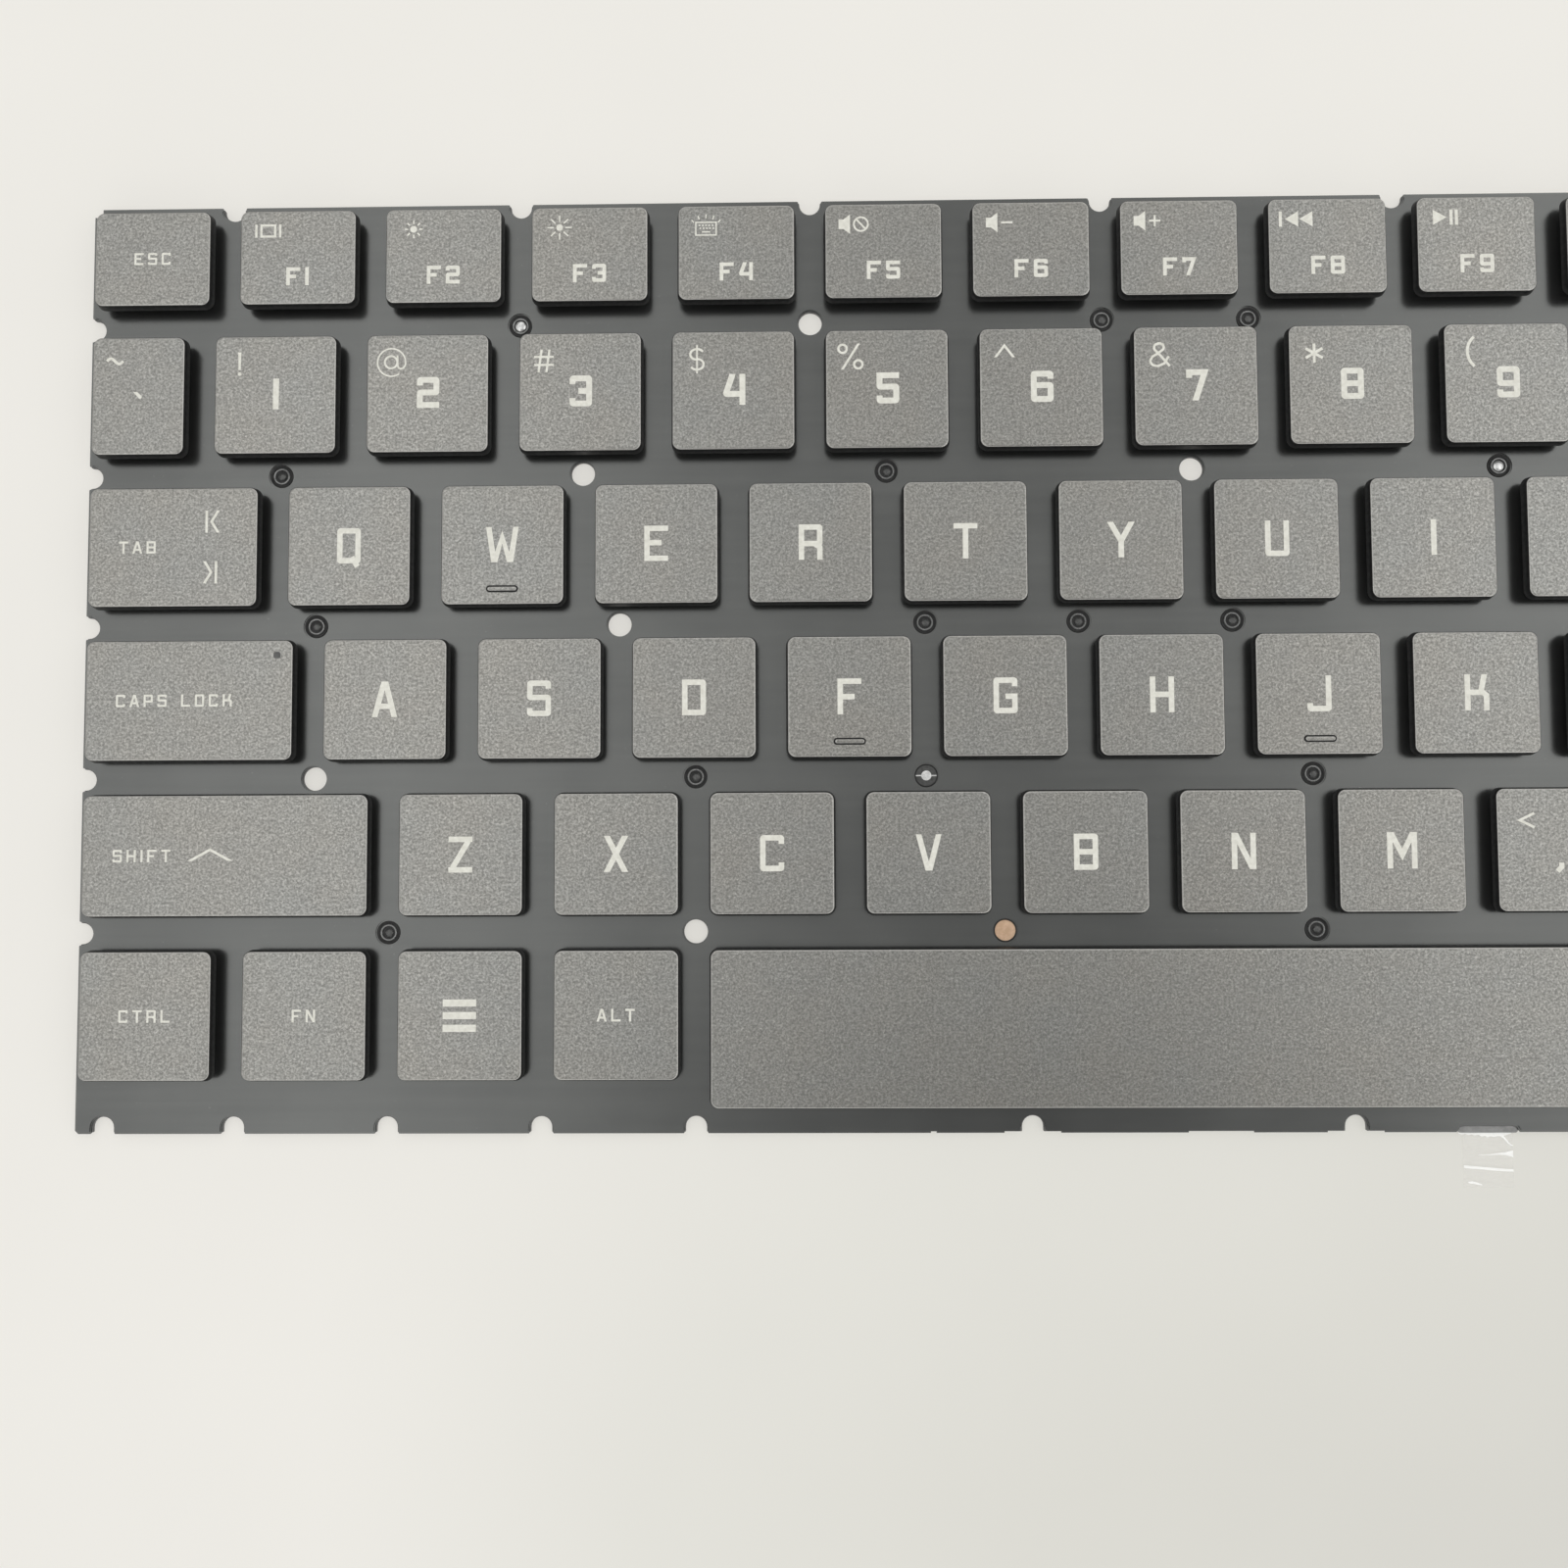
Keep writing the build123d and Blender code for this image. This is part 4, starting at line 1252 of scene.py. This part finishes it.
CORE_SHIFT = 0.06, -0.03
CORE_STEPS = over_plate((0.52, 0.03), (0.52, 0.14), (0.44, 0.19), (0.2, 0.21))
HEAD_STEPS = over_plate((0.7, 0.03), (0.62, 0.12), (0.4, 0.19), (0.12, 0.21))
PAD_STEPS = over_plate((1.36, 0.04), (1.36, 0.1), (1.3, 0.12))
DISC_STEPS = over_plate((1.38, 0.04), (1.38, 0.12), (1.3, 0.15))
BUTTON_STEPS = over_plate((0.62, 0.14), (0.62, 0.16), (0.58, 0.165))
SLIT_WIDTH = 0.14
SLIT_FROM, SLIT_TO = 0.55, 1.3
SLIT_HEIGHTS = PLATE_TOP + 0.13, PLATE_TOP + 0.158
well, collar, core, head, pad, slit = (Shape() for _ in range(6))
for x, y in riveted:
    stack(well, x, y, WELL_STEPS)
for x, y in holes["collar"] + holes["bright"]:
    rings = [at_height(circle(x, y, radius, COLLAR_SIDES), z) for radius, z in COLLAR_STEPS]
    for a, b in zip(rings, rings[1:] + rings[:1]):
        collar.add(a + b, band(COLLAR_SIDES), smooth=True)
for x, y in holes["collar"]:
    stack(core, x + CORE_SHIFT[0], y + CORE_SHIFT[1], CORE_STEPS, CORE_SIDES)
for x, y in holes["bright"]:
    stack(head, x, y, HEAD_STEPS, HEAD_SIDES)
for x, y in holes["copper"]:
    stack(pad, x, y, PAD_STEPS)
for x, y in holes["slit"]:
    stack(slit, x, y, DISC_STEPS)
    stack(head, x, y, BUTTON_STEPS, BUTTON_SIDES)
    for side in (-1, 1):
        stroke(head, [(x + side * SLIT_FROM, y), (x + side * SLIT_TO, y)], SLIT_WIDTH, *SLIT_HEIGHTS)
for name, shape, look in (
    ("rivet_wells", well, WELL), ("rivet_collars", collar, COLLAR), ("rivet_cores", core, CORE),
    ("rivet_heads", head, SILVER), ("copper_pad", pad, COPPER), ("slit_disc", slit, DISC),
):
    piece(name, shape, "chassis", look)

# Tape tab: a thin film that lies under the front edge and out on the surface
TAPE_COLUMNS, TAPE_ROWS = 26, 40
TAPE_IN = 0.5
TAPE_THICKNESS = 0.025
TAPE_UNDER = plate_low[2] - 0.02
TAPE_LOWEST = 0.03
TAPE_RIPPLE = 0.03
FALL_FROM, FALL_REACH = 0.1, 1.7
LOOSE_FROM, LOOSE_REACH = -0.5, 1.5


def share_past(y, start, reach):
    """How far a place has come from start to the end of a reach towards the front, from 0 to 1."""
    return min(1.0, max(0.0, (start - y) / reach))


def tape_height(y):
    """The height of the smooth tape at a place counted from the front edge."""
    fall = share_past(y, FALL_FROM, FALL_REACH)
    return max(TAPE_UNDER * (1 - fall * fall * (3 - 2 * fall)), TAPE_LOWEST)


tape_top = []
for j in range(TAPE_ROWS + 1):
    for i in range(TAPE_COLUMNS + 1):
        u, v = i / TAPE_COLUMNS, j / TAPE_ROWS
        x = tape_low[0] + TAPE_IN + u * (tape_high[0] - tape_low[0] - TAPE_IN)
        y = tape_high[1] + v * (tape_low[1] - tape_high[1])
        ripple = TAPE_RIPPLE * (1 + math.sin(7 * u + 2.1 * v) * math.cos(11 * v))
        loose = share_past(y - FRONT, LOOSE_FROM, LOOSE_REACH)
        tape_top.append((x, y, tape_height(y - FRONT) + loose * ripple))


def thin_body(shape, top, skin, border, thickness, smooth=False):
    """A closed body of one thickness under a skin with that border."""
    count = len(top)
    bottom = [(x, y, z - thickness) for x, y, z in top]
    rim = [[a, b, count + b, count + a] for a, b in zip(border, border[1:] + border[:1])]
    shape.add(top + bottom, skin + [[count + i for i in face] for face in skin] + rim, smooth)


tape = Shape()
across = TAPE_COLUMNS + 1
grid = [
    [j * across + i, j * across + i + 1, (j + 1) * across + i + 1, (j + 1) * across + i]
    for j in range(TAPE_ROWS) for i in range(TAPE_COLUMNS)
]
border = list(range(across)) + [j * across + TAPE_COLUMNS for j in range(1, TAPE_ROWS + 1)]
border += [TAPE_ROWS * across + i for i in range(TAPE_COLUMNS - 1, -1, -1)]
border += [j * across for j in range(TAPE_ROWS - 1, 0, -1)]
thin_body(tape, tape_top, grid, border, TAPE_THICKNESS, smooth=True)
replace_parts(piece("tape_tab", tape, "chassis", TAPE), "clear_tape")

# White creases of the tape: places along each from the middle of the front edge, with half the breadth there
CREASES = [
    [(-3.3, -0.2, 0.09), (-2.9, -0.24, 0.16), (-2.5, -0.2, 0.12), (-2.1, -0.28, 0.19), (-1.7, -0.25, 0.14),
     (-1.3, -0.3, 0.2), (-0.9, -0.27, 0.17), (-0.5, -0.37, 0.29), (-0.1, -0.33, 0.24), (0.2, -0.41, 0.34),
     (0.6, -0.35, 0.26), (0.9, -0.39, 0.31), (1.4, -0.35, 0.25), (1.8, -0.36, 0.28), (2.2, -0.32, 0.2),
     (2.6, -0.27, 0.12), (2.95, -0.22, 0.05)],
    [(1.75, -0.56, 0.1), (2.1, -0.72, 0.14), (2.4, -1.05, 0.15), (2.75, -1.46, 0.13), (3.05, -1.7, 0.1),
     (3.28, -1.72, 0.05)],
    [(-0.9, -2.86, 0.01), (0.4, -2.83, 0.06), (1.5, -2.74, 0.1), (2.3, -2.72, 0.17), (2.9, -2.7, 0.32),
     (3.25, -2.72, 0.4)],
    [(-2.65, -4.22, 0.15), (-2.2, -4.28, 0.17), (-0.8, -4.4, 0.15), (0.9, -4.55, 0.16), (2.3, -4.66, 0.15),
     (3.25, -4.7, 0.14)],
    [(-2.2, -6.1, 0.06), (-1.7, -6.12, 0.15), (-1.1, -6.24, 0.13), (-0.5, -6.4, 0.04)],
]
CREASE_OVER_TAPE = 0.07
CREASE_THICKNESS = 0.02
creases = Shape()
for crease in CREASES:
    sides = [(a, y + half) for a, y, half in crease] + [(a, y - half) for a, y, half in crease]
    top = [(tape_x + a, FRONT + y, tape_height(y) + CREASE_OVER_TAPE) for a, y in sides]
    count = len(crease)
    skin = [[i, i + 1, count + 1 + i, count + i] for i in range(count - 1)]
    border = list(range(count)) + list(range(2 * count - 1, count - 1, -1))
    thin_body(creases, top, skin, border, CREASE_THICKNESS)
piece("tape_creases", creases, "chassis", CREASE)

# The layer that shows in the recess over the tape
LIP_BESIDE, LIP_PAST, LIP_CORNER, LIP_IN_PLATE = 0.3, 0.1, 0.3, 0.02
lip = Shape()
lip_rect = Rect(
    (tape_low[0] - LIP_BESIDE, FRONT - LIP_PAST), (tape_high[0] + LIP_BESIDE, FRONT + RECESS_DEPTH + LIP_PAST)
)
prism(lip, rounded_rect(lip_rect, 0, LIP_CORNER), plate_low[2] + LIP_IN_PLATE, plate_high[2] - LIP_IN_PLATE)
piece("recess_lip", lip, "chassis", LIP)

# Keys, their lettering and their lifts
LIFTS = (
    ("scissor", add_scissor, LINK, "link", ("scissor_outer_links", "scissor_inner_links")),
    ("dome", add_dome, RUBBER, "dome_rubber", ("rubber_domes",)),
    ("bar", add_bar, STEEL, "bar", ("stabiliser_bars",)),
)


def add_lifts(names, label, joint=None):
    """The links, domes and bars of these keys; for a key with a joint each gets a mesh of its own."""
    for kind, build, look, slot, nodes in LIFTS:
        chosen = [name for name in names if kind != "bar" or name in WIDE_KEYS]
        if not chosen:
            continue
        shape = Shape()
        for name in chosen:
            build(shape, name)
        made = piece(f"{kind}_{label}", shape, "chassis", look)
        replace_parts(made, *nodes)
        if joint:
            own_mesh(made)


def add_keys(names, label, body, node):
    cap, lettering = Shape(), Shape()
    for name in names:
        add_cap(cap, name)
        add_legend(lettering, name)
    made = piece(f"cap_{label}", cap, body, KEY_PAINT)
    made.data.materials.append(KEY_WALL)
    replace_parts(made, node)
    if lettering.faces:
        piece(f"legend_{label}", lettering, body, LEGEND_INK)


for name in moving:
    add_keys([name], name, f"key_{name}", f"key_{name}")
    add_lifts([name], name, f"press_{name}")
add_keys(fixed, "right_hand", "chassis", "right_hand_keys")
add_lifts(fixed, "right_hand")

# Light window of the lock key
WINDOW_FAR, WINDOW_NEAR = (2.35, 2.25), (1.5, 1.45)
WINDOW_CORNER = 0.25
WINDOW_STEPS = [(0, -0.05), (0, 0.008), (0.04, 0.012)]
lock = keys["caps_lock"]
window = Shape()
glass = Rect(*((lock.x1 - x, lock.y1 - y) for x, y in (WINDOW_FAR, WINDOW_NEAR)))
loft(window, [
    at_height(rounded_rect(glass, inset, WINDOW_CORNER - inset), TOP_Z + rise) for inset, rise in WINDOW_STEPS
])
piece("lock_light", window, "key_caps_lock", WINDOW)

# Floor
FLOOR_REACH, FLOOR_Z = 6.0, -2e-5
FLOOR_GLOW = 0.68
floor_mesh = bpy.data.meshes.new("floor")
corners = [(x * FLOOR_REACH, y * FLOOR_REACH, FLOOR_Z) for x, y in ((-1, -1), (1, -1), (1, 1), (-1, 1))]
floor_mesh.from_pydata(corners, [], [[0, 1, 2, 3]])
floor = put("floor", floor_mesh)


def floor_look():
    """A pale surface with a painted shadow: paler at the left than in the near right corner, where the
    painted shadow darkens it; on it the object's shadow is weak.
    """
    look = Look("pale_floor_painted_shadow", rough=0.6, specular=0.3)
    x, y, _ = look.node("ShaderNodeSeparateXYZ", {"Vector": look.place}).outputs
    # Painted shadow: the floor colour darkens towards the near right corner
    corner = look.times(look.span(x, -0.105, 0.05), look.span(y, -0.02, -0.1))
    pale = look.ramp(corner, [
        (0.0, (0.838, 0.82, 0.775)), (0.25, (0.765, 0.755, 0.705)), (0.6, (0.71, 0.7, 0.65)),
        (1.0, (0.67, 0.66, 0.615)),
    ])
    drift = look.ramp(look.noise(35, 3, 0.5), [(0.3, 0.985), (0.7, 1.0)])
    pale = look.mix(1.0, pale, drift, "MULTIPLY")
    look.use("Base Color", pale)
    glow = look.node("ShaderNodeEmission", {"Color": pale, "Strength": 1.0}).outputs["Emission"]
    rays = look.node("ShaderNodeLightPath").outputs
    seen = look.math("ADD", rays["Is Camera Ray"], rays["Is Glossy Ray"])
    seen = look.math("ADD", seen, rays["Is Transmission Ray"], clamp=True)
    seen = look.times(seen, FLOOR_GLOW)
    both = look.node("ShaderNodeMixShader", {0: seen, 1: look.shader.outputs["BSDF"], 2: glow})
    look.tree.links.new(both.outputs["Shader"], look.tree.nodes["Material Output"].inputs["Surface"])
    return look.material


floor_mesh.materials.append(floor_look())
floor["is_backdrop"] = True

# Light: a soft dome, dim where the photographer leans over the keys and brightest round that
scene = bpy.context.scene
world = bpy.data.worlds.new("studio")
scene.world = world
world.use_nodes = True
sky = world.node_tree
DIM_PLACE = (0.078, -0.589, 0.804)
DIM_SHAPE = (0.787, 0.21, 1.0)
DOME = [(0, 0.039), (9.73, 0.06), (18.8, 1.776), (23.9, 1.175), (90, 0.653)]
DOME_REACH = 1.5
DOME_WARMTH = 0.985
DOME_TILT = (0.25, -0.22, 0.0)
SHADE_PLACE = (0.212, -0.328, 0.92)
SHADE_REACH = 0.49
SHADE_LEVEL = 0.436


def sky_math(operation, *inputs, kind="Vector"):
    node = add_node(sky, f"ShaderNode{kind}Math", dict(enumerate(inputs)), operation=operation)
    plain = kind == "" or operation in ("LENGTH", "DOT_PRODUCT")
    return node.outputs["Value" if plain else "Vector"]


direction = sky.nodes.new("ShaderNodeTexCoord").outputs["Generated"]
shaped = sky_math("MULTIPLY", sky_math("SUBTRACT", direction, DIM_PLACE), DIM_SHAPE)
distance = sky_math("DIVIDE", sky_math("LENGTH", shaped), DOME_REACH, kind="")
dome = add_node(sky, "ShaderNodeValToRGB", {"Fac": distance})
chords = [(2 * math.sin(math.radians(angle) / 2), grey) for angle, grey in DOME]
set_stops(dome, [(chord / DOME_REACH, (grey, grey, grey * DOME_WARMTH)) for chord, grey in chords])
from_shade = sky_math("LENGTH", sky_math("SUBTRACT", direction, SHADE_PLACE))
inputs = {"Value": from_shade, "From Max": SHADE_REACH, "To Min": SHADE_LEVEL}
shade = add_node(sky, "ShaderNodeMapRange", inputs, interpolation_type="SMOOTHSTEP")
leaning = sky_math("ADD", sky_math("DOT_PRODUCT", direction, DOME_TILT), 1.0, kind="")
background = sky.nodes["Background"]
sky.links.new(dome.outputs["Color"], background.inputs["Color"])
strength = sky_math("MULTIPLY", leaning, shade.outputs["Result"], kind="")
sky.links.new(strength, background.inputs["Strength"])
LAMP_PLACE, LAMP_AIM = Vector((-0.62, 0.2, 0.62)), Vector((-0.03, 0.0, 0.0))
LAMP_SIZE = 0.5, 0.9
LAMP_POWER = 0.3
light = bpy.data.lights.new("left_box", "AREA")
light.shape = "RECTANGLE"
light.size, light.size_y = LAMP_SIZE
light.energy = LAMP_POWER
lamp = put("left_box", light)
lamp.location = LAMP_PLACE
lamp.rotation_mode = "QUATERNION"
lamp.rotation_quaternion = (LAMP_AIM - LAMP_PLACE).to_track_quat("-Z", "Y")

# Camera, at the photograph's place
EYE = Vector((-45.045, -26.743, 191.60)) * MM
TURN_X, TURN_Y, TURN_Z = -0.0600, -0.0178, 0.0054
camera_data = bpy.data.cameras.new("camera")
camera_data.lens = 36
camera_data.sensor_width = 36
camera_data.clip_start = 0.005
camera = put("camera", camera_data)
view = Matrix.Rotation(TURN_Z, 3, "Z") @ Matrix.Rotation(TURN_Y, 3, "Y") @ Matrix.Rotation(TURN_X, 3, "X")
camera.matrix_world = Matrix.Translation(EYE) @ view.transposed().to_4x4()
scene.camera = camera
scene.view_settings.view_transform = "Standard"

low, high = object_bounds()
